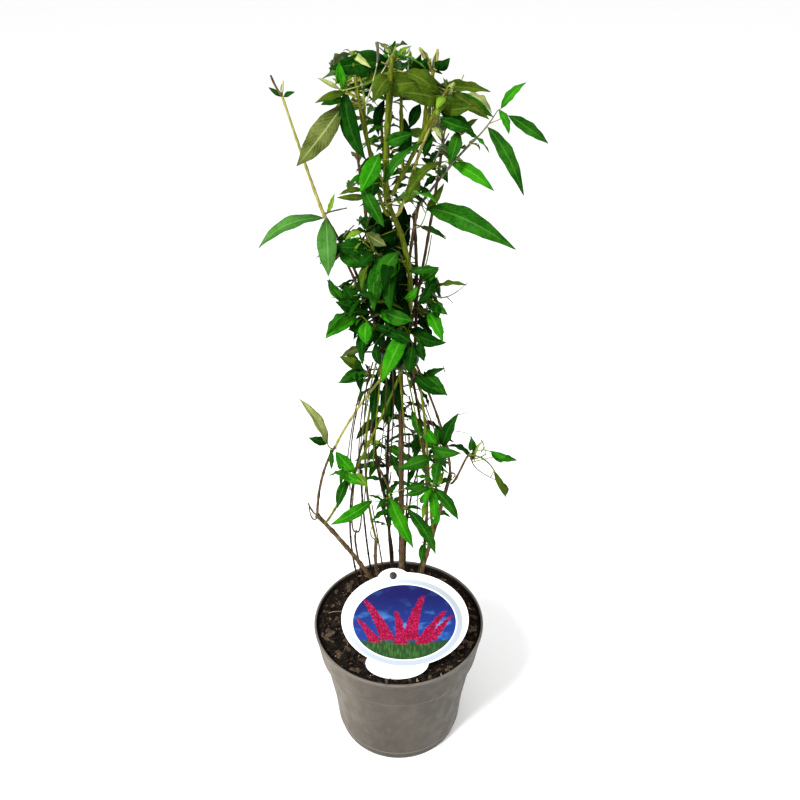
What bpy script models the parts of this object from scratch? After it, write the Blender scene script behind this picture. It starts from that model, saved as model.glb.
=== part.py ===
"""A butterfly bush in a three-litre nursery pot.

Metres, +Z up. The origin is under the middle of the pot, on the surface that it stands on,
and the front of the plant looks towards -Y.
"""

import itertools
import math
import random
from collections import namedtuple

import bmesh
import bpy
from mathutils import Vector
from mathutils.bvhtree import BVHTree

GAP = 0.0003
WELDS = (0.000001, 0.00002, 0.0000001)

# Pot. Its outside runs up from the foot ring to the wide band, as heights and radii.
POT_HEIGHT = 0.152
POT_TOP_RADIUS = 0.095
POT_OUTSIDE = (
    (0, 0.0698), (0.009, 0.0706), (0.011, 0.0727), (0.045, 0.0753), (0.109, 0.0850),
    (0.115, 0.0893), (0.147, 0.0940),
)
POT_WALL = 0.0015
POT_FLOOR = 0.003
LIP_HEIGHT = 0.003
LIP_DEPTH = 0.0015
POT_SIDES = 32
DRAIN_HOLES = 8
DRAIN_RADIUS = 0.005
DRAIN_CIRCLE = 0.048

# Compost
COMPOST_TOP = 0.147
COMPOST_EDGE_DROP = 0.004
COMPOST_UNEVEN = 0.0014
STEM_CIRCLE = 0.040
HEAP_CIRCLE = 0.069

# Tie that gathers the stems, with eight places round its inner wall and one in the middle
TIE_CIRCLE = 0.0156
TIE_TURN = 12
TIE_MIDDLE_PLACE = 8
TIE_MIDDLE = (0.002, 0.002)
TIE_LOW = 0.4780
TIE_SPLIT = 0.4870
TIE_HIGH = 0.4955
TIE_HEIGHT = 0.013
TIE_INNER_RADIUS = 0.0175
TIE_THICKNESS = 0.0016
TIE_SIDES = 24

# Plain oval plant card, which stands on the compost and leans back
CARD_SLOPE = 40
CARD_FOOT_Y = -0.083
CARD_FOOT_Z = 0.1478
CARD_MIDDLE = (0.0068, 0.0617)
CARD_HALF_SIZE = (0.068, 0.0487)
CARD_THICKNESS = 0.0008
CARD_TAB = (-0.005, 0.1015, 0.0185, 0.0133)
CARD_HOLE = (-0.006, 0.1068, 0.0026)
CARD_LOBE = (-0.0016, 0.0165, 0.033, 0.0160)
PEG_RADIUS = 0.0021
PEG_HEAD_RADIUS = 0.0040
PEG_HEAD_HEIGHT = 0.0015
PEG_LENGTH = 0.012

# Wood
LIMB_STEP = 0.026
LIMB_SIDES = 6
THICK_LIMB_SIDES = 8
THICK_LIMB_RADIUS = 0.0018
OLD_WOOD_HEIGHT = 0.36
ROOT_FLARE = 0.6
FLARE_HEIGHT = 0.007
ELBOW_LENGTH = 0.006
ELBOW_SPREAD = 6
KNOT_SWELL = 0.22
KNOT_LENGTH = 0.004
TWIG_STEP = 0.016
TWIG_TAPER = 0.6
SIDE_TWIG_RADIUS = 0.0007
SIDE_TWIG_RISE = 25
SHORTEST_SIDE_TWIG = 0.0015

# Leaves
LEAF_THICKNESS = 0.0011
LEAF_FOLD = 0.22
LEAF_ARCH = 0.10
LEAF_SINK = 0.0013
LARGE_LEAF = 0.042
LARGE_SHAPE = ((0.34, 1.0), (0.70, 0.76))
SMALL_SHAPE = ((0.42, 1.0),)
LEAF_WIDTH_SHARE = 0.30
LEAF_OPENING = 58
LEAF_DROOP = 32
LEAF_SCATTER = 18
LEAF_ROLL = 25
LEAF_SIZES = (0.8, 1.2)
CLEARANCE = 0.0006
NUDGES = (0, 7, -7, 14, -14, 22, -22, 30, -30)

Foot = namedtuple("Foot", "x y")
Fork = namedtuple("Fork", "limb up towards")
Tie = namedtuple("Tie", "place")
Limb = namedtuple("Limb", "root through end thick thin")
Mass = namedtuple("Mass", "root tip thick pairs leaf leads")
Blade = namedtuple("Blade", "up out towards rise length width roll")
Curve = namedtuple("Curve", "points foot_axis end_axis before after")

# A limb runs from its root through one point to its end. The root is a foot in the compost,
# a place in the tie, or a fork: how far up another limb, and the bearing that it leaves in.
LIMBS = {
    "main_stem": Limb(Foot(0.003, 0.022), (0.003, 0.013, 0.3), Tie(8), 0.0034, 0.0024),
    "low_left_stem": Limb(
        Foot(-0.006, 0.015), (-0.042, 0.006, 0.228), (-0.084, 0, 0.299), 0.0025, 0.0022
    ),
    "low_left_rise": Limb(
        Fork("low_left_stem", 1, 0), (-0.076, -0.006, 0.352), (-0.061, -0.01, 0.392), 0.0014, 0.0012
    ),
    "low_left_shoot": Limb(Fork("low_left_rise", 1, 0), (-0.038, -0.012, 0.436), Tie(5), 0.0012, 0.0011),
    "low_left_link": Limb(
        Fork("low_left_stem", 0.93, 330), (-0.044, -0.014, 0.362), Tie(6), 0.0013, 0.0011
    ),
    "upright_left_stem": Limb(
        Foot(-0.012, 0.025), (-0.024, 0.018, 0.203), (-0.024, 0.015, 0.252), 0.0019, 0.0018
    ),
    "inner_left_rise": Limb(
        Fork("upright_left_stem", 1, 0), (-0.033, 0.008, 0.37), Tie(4), 0.0013, 0.0011
    ),
    "main_left_fork": Limb(Fork("main_stem", 0.41, 160), (-0.022, 0.019, 0.352), Tie(3), 0.0019, 0.0013),
    "low_right_stem": Limb(
        Foot(0.012, 0.016), (0.033, 0.003, 0.256), (0.051, -0.01, 0.357), 0.0024, 0.0019
    ),
    "low_right_rise": Limb(Fork("low_right_stem", 1, 0), (0.042, -0.007, 0.408), Tie(0), 0.0014, 0.0011),
    "low_right_arm": Limb(
        Fork("low_right_stem", 0.95, 345), (0.062, -0.017, 0.374), (0.07, -0.022, 0.385), 0.0012, 0.001
    ),
    "inner_right_rise": Limb(
        Fork("low_right_stem", 0.62, 240), (0.028, -0.018, 0.385), Tie(7), 0.0013, 0.0011
    ),
    "back_right_stem": Limb(Foot(0.014, 0.026), (0.03, 0.02, 0.3), Tie(1), 0.0019, 0.0012),
    "back_left_stem": Limb(Foot(-0.003, 0.034), (-0.012, 0.038, 0.31), Tie(2), 0.0019, 0.0012),
    "centre_leader": Limb(Tie(8), (0.01, -0.004, 0.565), (-0.01, 0, 0.63), 0.0026, 0.0022),
    "right_leader": Limb(Tie(0), (0.016, 0.004, 0.56), (0.013, 0, 0.619), 0.0015, 0.0014),
    "left_bough": Limb(Tie(4), (-0.033, -0.006, 0.56), (-0.059, -0.015, 0.62), 0.0014, 0.0012),
    "back_left_bough": Limb(Tie(3), (-0.024, 0.026, 0.575), (-0.036, 0.038, 0.668), 0.0015, 0.0012),
    "back_right_bough": Limb(Tie(1), (0.024, 0.026, 0.575), (0.038, 0.036, 0.672), 0.0015, 0.0012),
    "crown_bough": Limb(
        Fork("centre_leader", 1, 0), (-0.009, 0, 0.668), (-0.006, 0, 0.701), 0.002, 0.0017
    ),
    "crown_left_bough": Limb(
        Fork("centre_leader", 0.92, 200), (-0.02, -0.005, 0.655), (-0.026, -0.009, 0.707), 0.0015, 0.0012
    ),
    "crown_right_bough": Limb(
        Fork("centre_leader", 0.9, 330), (0.011, -0.006, 0.652), (0.031, -0.009, 0.702), 0.0015, 0.0012
    ),
    "thin_right_bough": Limb(
        Fork("right_leader", 1, 0), (0.039, -0.01, 0.658), (0.061, -0.014, 0.684), 0.0011, 0.0009
    ),
    "crown_back_bough": Limb(
        Fork("centre_leader", 0.94, 90), (-0.011, 0.016, 0.654), (-0.012, 0.03, 0.702), 0.0014, 0.0011
    ),
}

# A mass grows from a fork towards its tip in pairs of leaves. Its leading leaves are given
# one by one: how far up the shoot, the length of side twig, bearing, rise, length, width, roll.
MASSES = {
    "crown_left": Mass(Fork("left_bough", 1, 0), (-0.088, -0.015, 0.716), 0.0013, 2, 0.03, (
        Blade(0.1, 0, 190, -20, 0.059, 0.013, -30),
        Blade(0.1, 0, 290, -75, 0.05, 0.017, 10),
        Blade(0.1, 0.003, 20, 65, 0.017, 0.004, 50),
        Blade(1, 0, 180, 40, 0.012, 0.004, -60),
        Blade(1, 0.001, 325, 25, 0.012, 0.004, 80),
        Blade(1, 0, 5, 80, 0.012, 0.003, 65),
    )),
    "crown_top_left": Mass(Fork("crown_left_bough", 1, 0), (-0.036, -0.004, 0.745), 0.001, 2, 0.04, (
        Blade(0.1, 0.014, 210, -45, 0.069, 0.015, -45),
        Blade(0.3, 0.01, 270, -55, 0.053, 0.014, 0),
        Blade(0.15, 0.017, 185, 80, 0.02, 0.005, -80),
        Blade(0.1, 0.02, 185, 30, 0.018, 0.004, -60),
        Blade(0.1, 0.018, 210, -10, 0.025, 0.006, -65),
        Blade(1, 0, 325, -25, 0.022, 0.005, 50),
    )),
    "crown_top": Mass(Fork("crown_bough", 1, 0), (-0.004, 0, 0.744), 0.0014, 3, 0.042, (
        Blade(0.8, 0.01, 190, -5, 0.04, 0.014, -75),
        Blade(0.6, 0.004, 245, -20, 0.033, 0.015, -35),
        Blade(0.9, 0, 190, 50, 0.018, 0.004, -50),
        Blade(0.9, 0.001, 350, 35, 0.017, 0.004, 55),
    )),
    "crown_right_top": Mass(Fork("crown_right_bough", 1, 0), (0.037, -0.009, 0.718), 0.0011, 1, 0.04, (
        Blade(0.2, 0, 325, 10, 0.029, 0.01, 80),
        Blade(0.85, 0.005, 340, -30, 0.035, 0.009, 65),
        Blade(0.55, 0.002, 210, 15, 0.038, 0.015, -85),
        Blade(0.7, 0, 5, 60, 0.014, 0.005, 65),
        Blade(0.55, 0.004, 245, -40, 0.014, 0.006, -15),
        Blade(0.1, 0, 350, -30, 0.033, 0.009, 70),
    )),
    "crown_top_right": Mass(Fork("crown_right_bough", 0.72, 60), (0.025, 0.006, 0.739), 0.0011, 2, 0.04, (
        Blade(0.95, 0, 200, 60, 0.02, 0.004, -60),
        Blade(0.9, 0.002, 340, 80, 0.017, 0.004, 70),
        Blade(0.95, 0.003, 325, 35, 0.012, 0.007, 85),
        Blade(0.9, 0.003, 200, 30, 0.016, 0.008, -85),
        Blade(0.8, 0.001, 0, -5, 0.045, 0.01, 50),
    )),
    "crown_right_tip": Mass(Fork("thin_right_bough", 1, 0), (0.076, -0.016, 0.705), 0.0009, 1, 0.03, (
        Blade(1, 0.003, 5, 45, 0.026, 0.007, 65),
        Blade(1, 0.002, 310, -55, 0.02, 0.006, 35),
        Blade(0.6, 0.016, 345, -30, 0.037, 0.01, 70),
        Blade(0.4, 0.003, 315, -45, 0.058, 0.013, 45),
    )),
    "crown_right_inner": Mass(Fork("thin_right_bough", 0.55, 120), (0.049, -0.008, 0.688), 0.0009, 2, 0.03, (
        Blade(0.1, 0.002, 330, -25, 0.042, 0.01, 60),
        Blade(0.95, 0.005, 250, -50, 0.027, 0.01, -15),
        Blade(0.85, 0, 30, 35, 0.024, 0.006, 45),
        Blade(0.1, 0.006, 215, -35, 0.047, 0.01, -5),
    )),
    "crown_right_low": Mass(Fork("right_leader", 0.9, 300), (0.024, -0.01, 0.628), 0.0009, 1, 0.026, (
        Blade(0.95, 0, 325, -10, 0.084, 0.022, 60),
        Blade(0.35, 0, 325, -10, 0.026, 0.006, 35),
        Blade(0.9, 0, 350, 60, 0.027, 0.006, 75),
    )),
    "crown_front": Mass(Fork("centre_leader", 0.95, 262), (-0.014, -0.016, 0.661), 0.0009, 2, 0.036, (
        Blade(1, 0.003, 225, -35, 0.025, 0.016, -45),
        Blade(0.45, 0.018, 195, 5, 0.024, 0.006, -60),
        Blade(0.8, 0, 280, -60, 0.034, 0.014, 5),
        Blade(0.8, 0.002, 350, 50, 0.044, 0.01, 50),
    )),
    "crown_back": Mass(Fork("crown_back_bough", 1, 0), (-0.01, 0.034, 0.738), 0.0011, 4, 0.054, ()),
    "crown_back_left": Mass(Fork("back_left_bough", 1, 0), (-0.052, 0.052, 0.722), 0.0011, 4, 0.058, ()),
    "crown_back_right": Mass(Fork("back_right_bough", 1, 0), (0.054, 0.05, 0.72), 0.0011, 4, 0.058, ()),
    "upper_front": Mass(Fork("centre_leader", 0.62, 250), (-0.02, -0.018, 0.592), 0.001, 3, 0.04, (
        Blade(0.1, 0.01, 225, -30, 0.027, 0.012, -40),
        Blade(0.85, 0, 255, -65, 0.046, 0.011, -10),
        Blade(1, 0.006, 195, 10, 0.027, 0.014, -65),
        Blade(1, 0.001, 230, -20, 0.023, 0.01, -40),
    )),
    "upper_right": Mass(Fork("right_leader", 0.24, 330), (0.022, -0.008, 0.563), 0.001, 3, 0.038, (
        Blade(1, 0, 320, 45, 0.021, 0.01, 85),
        Blade(0.7, 0.002, 300, 65, 0.026, 0.007, -30),
        Blade(0.65, 0, 310, -10, 0.025, 0.01, 45),
        Blade(0.1, 0.014, 295, -30, 0.032, 0.011, 25),
        Blade(0.85, 0.006, 340, 20, 0.032, 0.007, 10),
    )),
    "upper_left": Mass(Fork("left_bough", 0.22, 230), (-0.04, -0.018, 0.556), 0.001, 3, 0.038, (
        Blade(0.85, 0, 195, 60, 0.017, 0.013, -85),
        Blade(0.7, 0, 210, 30, 0.022, 0.01, -75),
        Blade(0.75, 0.011, 180, 55, 0.025, 0.008, -65),
        Blade(0.6, 0.003, 220, -20, 0.036, 0.011, -45),
        Blade(0.1, 0.01, 265, -45, 0.021, 0.012, 0),
        Blade(0.45, 0.019, 335, 0, 0.03, 0.012, 55),
        Blade(0.2, 0.008, 220, -20, 0.015, 0.008, -40),
    )),
    "upper_back_left": Mass(Fork("back_left_bough", 0.42, 100), (-0.03, 0.044, 0.59), 0.001, 4, 0.048, ()),
    "upper_back_right": Mass(Fork("back_right_bough", 0.4, 70), (0.03, 0.044, 0.585), 0.001, 4, 0.048, ()),
    "mid_front": Mass(Fork("centre_leader", 0.14, 280), (0.005, -0.024, 0.527), 0.001, 2, 0.034, (
        Blade(0.65, 0.001, 230, -45, 0.05, 0.015, -30),
        Blade(0.25, 0.002, 330, -5, 0.027, 0.009, 50),
    )),
    "mid_left": Mass(Fork("inner_left_rise", 0.93, 200), (-0.035, -0.016, 0.483), 0.0009, 2, 0.032, (
        Blade(0.8, 0, 220, -5, 0.027, 0.009, -45),
        Blade(0.95, 0, 215, 55, 0.015, 0.008, -85),
        Blade(1, 0, 215, 40, 0.024, 0.01, -75),
    )),
    "mid_right": Mass(Fork("low_right_rise", 0.9, 320), (0.023, -0.014, 0.476), 0.0009, 2, 0.032, (
        Blade(1, 0, 325, -30, 0.03, 0.011, 40),
        Blade(0.85, 0, 330, 30, 0.024, 0.006, 65),
    )),
    "mid_back": Mass(Fork("back_left_stem", 0.93, 90), (0.002, 0.032, 0.476), 0.0009, 3, 0.042, ()),
    "low_left": Mass(Fork("low_left_rise", 0.95, 190), (-0.067, -0.015, 0.405), 0.0009, 1, 0.018, (
        Blade(0.55, 0, 185, 65, 0.057, 0.013, -30),
        Blade(0.7, 0, 210, 30, 0.022, 0.009, -60),
        Blade(0.1, 0.002, 270, -70, 0.021, 0.005, 0),
    )),
    "low_left_inner": Mass(Fork("low_left_link", 0.47, 180), (-0.051, -0.02, 0.376), 0.0009, 2, 0.024, (
        Blade(0.85, 0, 205, 70, 0.021, 0.012, -85),
        Blade(0.5, 0.014, 325, -35, 0.018, 0.008, 30),
        Blade(0.1, 0, 245, -45, 0.031, 0.01, -20),
    )),
    "low_centre": Mass(Fork("main_stem", 0.5, 240), (-0.01, -0.012, 0.336), 0.0009, 2, 0.026, (
        Blade(0.95, 0, 310, -45, 0.057, 0.014, 25),
        Blade(0.8, 0.022, 205, -20, 0.047, 0.012, -40),
        Blade(0.6, 0.022, 320, -45, 0.055, 0.012, 30),
    )),
    "low_right_inner": Mass(Fork("inner_right_rise", 0.38, 290), (0.034, -0.027, 0.364), 0.0009, 2, 0.024, (
        Blade(0.15, 0.001, 335, -45, 0.043, 0.011, 40),
        Blade(0.1, 0, 285, -60, 0.034, 0.01, 5),
        Blade(0.1, 0.002, 205, -5, 0.027, 0.008, -40),
    )),
    "low_right": Mass(Fork("low_right_rise", 0.22, 200), (0.038, -0.016, 0.399), 0.0009, 2, 0.028, (
        Blade(0.9, 0.005, 0, 70, 0.037, 0.012, 70),
        Blade(0.9, 0.001, 180, 55, 0.026, 0.009, -65),
        Blade(0.2, 0.016, 205, -5, 0.034, 0.013, -45),
        Blade(0.1, 0, 235, 35, 0.03, 0.008, -75),
    )),
    "right_sprig": Mass(Fork("low_right_arm", 1, 0), (0.101, -0.03, 0.363), 0.0008, 2, 0.016, (
        Blade(1, 0.001, 315, -70, 0.014, 0.006, 35),
        Blade(0.1, 0.021, 345, 0, 0.023, 0.008, 45),
        Blade(0.1, 0.003, 0, 80, 0.024, 0.005, 35),
        Blade(0.1, 0.001, 185, 85, 0.03, 0.007, -55),
    )),
    "low_back": Mass(Fork("back_left_stem", 0.55, 100), (-0.014, 0.052, 0.352), 0.0009, 3, 0.04, ()),
    "low_back_right": Mass(Fork("back_right_stem", 0.62, 50), (0.04, 0.034, 0.392), 0.0009, 3, 0.04, ()),
}

def clear_scene():
    for item in list(bpy.data.objects):
        bpy.data.objects.remove(item)


def make_material(name, colour, roughness, metallic=0.0):
    material = bpy.data.materials.new(name)
    material.use_nodes = True
    shader = material.node_tree.nodes["Principled BSDF"]
    shader.inputs["Base Color"].default_value = (*colour, 1.0)
    shader.inputs["Roughness"].default_value = roughness
    shader.inputs["Metallic"].default_value = metallic
    material.diffuse_color = (*colour, 1.0)
    return material


def make_materials():
    return {
        "pot plastic": make_material("pot plastic", (0.17, 0.15, 0.14), 0.42),
        "compost": make_material("compost", (0.035, 0.02, 0.013), 0.95),
        "tie": make_material("tie", (0.03, 0.045, 0.035), 0.6),
        "card": make_material("card", (0.82, 0.83, 0.84), 0.3),
        "peg": make_material("peg", (0.02, 0.02, 0.02), 0.4),
        "old wood": make_material("old wood", (0.10, 0.05, 0.025), 0.8),
        "young wood": make_material("young wood", (0.24, 0.22, 0.06), 0.6),
        "leaf": make_material("leaf", (0.04, 0.16, 0.02), 0.45),
    }


def add_object(name, mesh_or_bm, material, smooth=False):
    """One object from a bmesh, or from a mesh that is already made."""
    if isinstance(mesh_or_bm, bmesh.types.BMesh):
        mesh = bpy.data.meshes.new(name)
        bmesh.ops.recalc_face_normals(mesh_or_bm, faces=mesh_or_bm.faces)
        mesh_or_bm.to_mesh(mesh)
        mesh_or_bm.free()
    else:
        mesh = mesh_or_bm
    mesh.materials.clear()
    mesh.materials.append(material)
    if smooth:
        mesh.shade_smooth()
        mesh.set_sharp_from_angle(angle=math.radians(35))
    item = bpy.data.objects.new(name, mesh)
    bpy.context.scene.collection.objects.link(item)
    return item


def turned(profile, sides):
    """A solid of revolution about Z from a closed profile of (radius, height) points."""
    bm = bmesh.new()
    verts = [bm.verts.new((radius, 0, height)) for radius, height in profile]
    on_axis = profile[0][0] == 0 and profile[-1][0] == 0
    pairs = list(zip(verts, verts[1:]))
    if not on_axis:
        pairs.append((verts[-1], verts[0]))
    edges = [bm.edges.new(pair) for pair in pairs]
    bmesh.ops.spin(
        bm, geom=verts + edges, cent=(0, 0, 0), axis=(0, 0, 1),
        angle=math.tau, steps=sides, use_merge=True,
    )
    bmesh.ops.remove_doubles(bm, verts=bm.verts, dist=1e-6)
    return bm


def swept(rings):
    """A closed skin through rings of points. A last ring that is one point makes a tip."""
    bm = bmesh.new()
    first = [bm.verts.new(point) for point in rings[0]]
    face = bm.faces.new(first)
    for ring in rings[1:]:
        face = bmesh.ops.extrude_discrete_faces(bm, faces=[face])["faces"][0]
        for vert, point in zip(face.verts, ring):
            vert.co = point
    bm.faces.new(list(reversed(first)))
    bmesh.ops.remove_doubles(bm, verts=bm.verts, dist=1e-6)
    bmesh.ops.dissolve_degenerate(bm, dist=1e-7, edges=bm.edges)
    bmesh.ops.recalc_face_normals(bm, faces=bm.faces)
    return bm


def boolean(item, operation, others, name):
    """Applies one Boolean of a whole collection and removes the others. Each solver and weld is
    tried until the skin is closed, and the result says whether it is."""
    group = bpy.data.collections.new(name)
    bpy.context.scene.collection.children.link(group)
    for other in others:
        bpy.context.scene.collection.objects.unlink(other)
        group.objects.link(other)
    modifier = item.modifiers.new(name, "BOOLEAN")
    modifier.operation = operation
    modifier.operand_type = "COLLECTION"
    modifier.collection = group
    for solver, weld in itertools.product(("EXACT", "MANIFOLD"), WELDS):
        modifier.solver = solver
        shown = item.evaluated_get(bpy.context.evaluated_depsgraph_get())
        mesh = bpy.data.meshes.new_from_object(shown)
        keep_outer_skin(mesh, weld)
        if is_closed(mesh):
            break
    closed = is_closed(mesh)
    item.modifiers.clear()
    item.data = mesh
    for other in others:
        bpy.data.objects.remove(other)
    bpy.data.collections.remove(group)
    return closed


def is_closed(mesh):
    bm = bmesh.new()
    bm.from_mesh(mesh)
    closed = all(len(edge.link_faces) == 2 for edge in bm.edges)
    bm.free()
    return closed


def keep_outer_skin(mesh, weld):
    """Keeps the largest skin: loose scraps go, and sealed hollows are filled."""
    bm = bmesh.new()
    bm.from_mesh(mesh)
    bmesh.ops.remove_doubles(bm, verts=bm.verts, dist=weld)
    bmesh.ops.dissolve_degenerate(bm, dist=weld, edges=bm.edges)
    bmesh.ops.triangulate(bm, faces=bm.faces)
    left = set(bm.faces)
    skins = []
    while left:
        skin, edge_of = set(), [left.pop()]
        while edge_of:
            face = edge_of.pop()
            skin.add(face)
            for edge in face.edges:
                near = [other for other in edge.link_faces if other in left]
                left.difference_update(near)
                edge_of.extend(near)
        skins.append(skin)
    skins.sort(key=lambda skin: sum(face.calc_area() for face in skin))
    bmesh.ops.delete(bm, geom=[face for skin in skins[:-1] for face in skin], context="FACES")
    bmesh.ops.delete(bm, geom=[vert for vert in bm.verts if not vert.link_faces], context="VERTS")
    bm.to_mesh(mesh)
    bm.free()


def pot_wall_radius(height):
    """The outside radius of the wall at a height."""
    for (low, narrow), (high, wide) in zip(POT_OUTSIDE, POT_OUTSIDE[1:]):
        if height <= high:
            return narrow + (wide - narrow) * (height - low) / (high - low)
    return POT_OUTSIDE[-1][1]


def make_pot(materials):
    """Tapered pot with a foot ring, a soft shoulder, a wide band, a small lip and drain holes."""
    profile = [
        (0, 0),
        *((radius, height) for height, radius in POT_OUTSIDE),
        (POT_TOP_RADIUS, POT_HEIGHT - LIP_HEIGHT),
        (POT_TOP_RADIUS, POT_HEIGHT - LIP_DEPTH / 2),
        (POT_TOP_RADIUS - LIP_DEPTH / 2, POT_HEIGHT),
        (pot_wall_radius(POT_HEIGHT) - POT_WALL, POT_HEIGHT),
        *((radius - POT_WALL, height) for height, radius in reversed(POT_OUTSIDE[2:])),
        (pot_wall_radius(POT_FLOOR) - POT_WALL, POT_FLOOR),
        (0, POT_FLOOR),
    ]
    pot = add_object("pot", turned(profile, POT_SIDES), materials["pot plastic"])
    drills = []
    for number in range(DRAIN_HOLES):
        angle = math.tau * (number + 0.5) / DRAIN_HOLES
        bm = bmesh.new()
        bmesh.ops.create_cone(
            bm, cap_ends=True, segments=10, radius1=DRAIN_RADIUS, radius2=DRAIN_RADIUS,
            depth=4 * POT_FLOOR,
        )
        bmesh.ops.translate(
            bm, verts=bm.verts, vec=(DRAIN_CIRCLE * math.cos(angle), DRAIN_CIRCLE * math.sin(angle), 0)
        )
        drills.append(add_object("drain drill", bm, materials["pot plastic"]))
    boolean(pot, "DIFFERENCE", drills, "drain holes")
    pot.data.shade_smooth()
    pot.data.set_sharp_from_angle(angle=math.radians(35))
    return pot


def make_compost(materials):
    """The fill of the pot: level round the stems, lower and uneven towards the wall, and heaped
    under the foot of the card."""
    low = POT_FLOOR + GAP
    wall = POT_WALL + GAP
    edge = COMPOST_TOP - COMPOST_EDGE_DROP
    profile = [
        (0, low),
        (pot_wall_radius(low) - wall, low),
        *((radius - wall, height) for height, radius in POT_OUTSIDE[2:-1]),
        (pot_wall_radius(edge) - wall, edge),
        (HEAP_CIRCLE, COMPOST_TOP - COMPOST_EDGE_DROP / 2),
        ((STEM_CIRCLE + HEAP_CIRCLE) / 2, COMPOST_TOP - COMPOST_EDGE_DROP / 4),
        (STEM_CIRCLE, COMPOST_TOP),
        (0, COMPOST_TOP),
    ]
    bm = turned(profile, POT_SIDES)
    draw = random.Random(5)
    for vert in bm.verts:
        across = math.hypot(vert.co.x, vert.co.y)
        at_card = vert.co.y < CARD_FOOT_Y / 2 and abs(vert.co.x) < STEM_CIRCLE
        if vert.co.z > edge - GAP and at_card:
            vert.co.z = CARD_FOOT_Z
        elif vert.co.z > edge + GAP and across > STEM_CIRCLE + GAP:
            vert.co.z += draw.uniform(-COMPOST_UNEVEN, COMPOST_UNEVEN)
    return add_object("compost", bm, materials["compost"])


def tie_place(place, height):
    """Where a stem stands in the tie, at one height."""
    if place == TIE_MIDDLE_PLACE:
        return Vector((*TIE_MIDDLE, height))
    bearing = math.radians(360 / TIE_MIDDLE_PLACE * place + TIE_TURN)
    return Vector((TIE_CIRCLE * math.cos(bearing), TIE_CIRCLE * math.sin(bearing), height))


def make_tie(materials):
    low = TIE_SPLIT - TIE_HEIGHT / 2
    outer = TIE_INNER_RADIUS + TIE_THICKNESS
    bulge = TIE_THICKNESS / 4
    profile = [
        (TIE_INNER_RADIUS, low),
        (outer - bulge, low),
        (outer, low + TIE_THICKNESS),
        (outer, low + TIE_HEIGHT - TIE_THICKNESS),
        (outer - bulge, low + TIE_HEIGHT),
        (TIE_INNER_RADIUS, low + TIE_HEIGHT),
    ]
    return add_object("tie", turned(profile, TIE_SIDES), materials["tie"], smooth=True)


def card_point(across, up, off=0.0):
    """A point of the card's plane: metres across, up the slope, and off its face."""
    slope = math.radians(CARD_SLOPE)
    return Vector((
        across,
        CARD_FOOT_Y + up * math.cos(slope) - off * math.sin(slope),
        CARD_FOOT_Z + up * math.sin(slope) + off * math.cos(slope),
    ))


def on_card(bm, across, up, off=0.0):
    """Moves a shape modelled flat about the origin on to the card's slope."""
    origin = card_point(across, up, off)
    right = Vector((1, 0, 0))
    uphill = card_point(0, 1) - card_point(0, 0)
    out = right.cross(uphill)
    for vert in bm.verts:
        flat = vert.co.copy()
        vert.co = origin + right * flat.x + uphill * flat.y + out * flat.z
    return bm


def oval_slab(half_across, half_up, thickness, sides):
    bm = bmesh.new()
    bmesh.ops.create_cone(
        bm, cap_ends=True, segments=sides, radius1=1, radius2=1, depth=thickness
    )
    bmesh.ops.scale(bm, verts=bm.verts, vec=(half_across, half_up, 1))
    return bm


def make_card(materials):
    """Oval card with a wide tab at its top, a hole in the tab and a wide lobe at its foot."""
    lift = CARD_THICKNESS / 2
    white = materials["card"]
    card = add_object(
        "card", on_card(oval_slab(*CARD_HALF_SIZE, CARD_THICKNESS, 40), *CARD_MIDDLE, lift), white
    )
    tab_across, tab_up, half_across, half_up = CARD_TAB
    tab = on_card(oval_slab(half_across, half_up, CARD_THICKNESS, 20), tab_across, tab_up, lift)
    lobe_across, lobe_up, half_across, half_up = CARD_LOBE
    lobe = on_card(oval_slab(half_across, half_up, CARD_THICKNESS, 22), lobe_across, lobe_up, lift)
    boolean(card, "UNION", [add_object("tab", tab, white), add_object("lobe", lobe, white)], "card")
    hole_across, hole_up, hole_radius = CARD_HOLE
    hole = on_card(oval_slab(hole_radius, hole_radius, PEG_LENGTH, 12), hole_across, hole_up)
    boolean(card, "DIFFERENCE", [add_object("hole", hole, white)], "hole")
    return card


def make_peg(materials):
    """The dark peg through the hole of the tab."""
    profile = [
        (0, -PEG_LENGTH),
        (PEG_RADIUS / 2, -PEG_LENGTH),
        (PEG_RADIUS, PEG_RADIUS - PEG_LENGTH),
        (PEG_RADIUS, CARD_THICKNESS + GAP),
        (PEG_HEAD_RADIUS, CARD_THICKNESS + GAP),
        (PEG_HEAD_RADIUS, CARD_THICKNESS + PEG_HEAD_HEIGHT / 2),
        (PEG_HEAD_RADIUS / 2, CARD_THICKNESS + PEG_HEAD_HEIGHT),
        (0, CARD_THICKNESS + PEG_HEAD_HEIGHT),
    ]
    bm = on_card(turned(profile, 10), CARD_HOLE[0], CARD_HOLE[1])
    return add_object("peg", bm, materials["peg"], smooth=True)


def bearing_vector(degrees):
    return Vector((math.cos(math.radians(degrees)), math.sin(math.radians(degrees)), 0))


def bezier(points, share):
    """A point of a cubic curve."""
    back = 1 - share
    weights = (back**3, 3 * share * back**2, 3 * share**2 * back, share**3)
    return sum((point * weight for point, weight in zip(points, weights)), Vector())


def bezier_axis(points, share):
    """The direction of a cubic curve."""
    back = 1 - share
    weights = (back**2, 2 * share * back, share**2)
    steps = [after - before for before, after in zip(points, points[1:])]
    return sum((step * weight for step, weight in zip(steps, weights)), Vector()).normalized()


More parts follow.
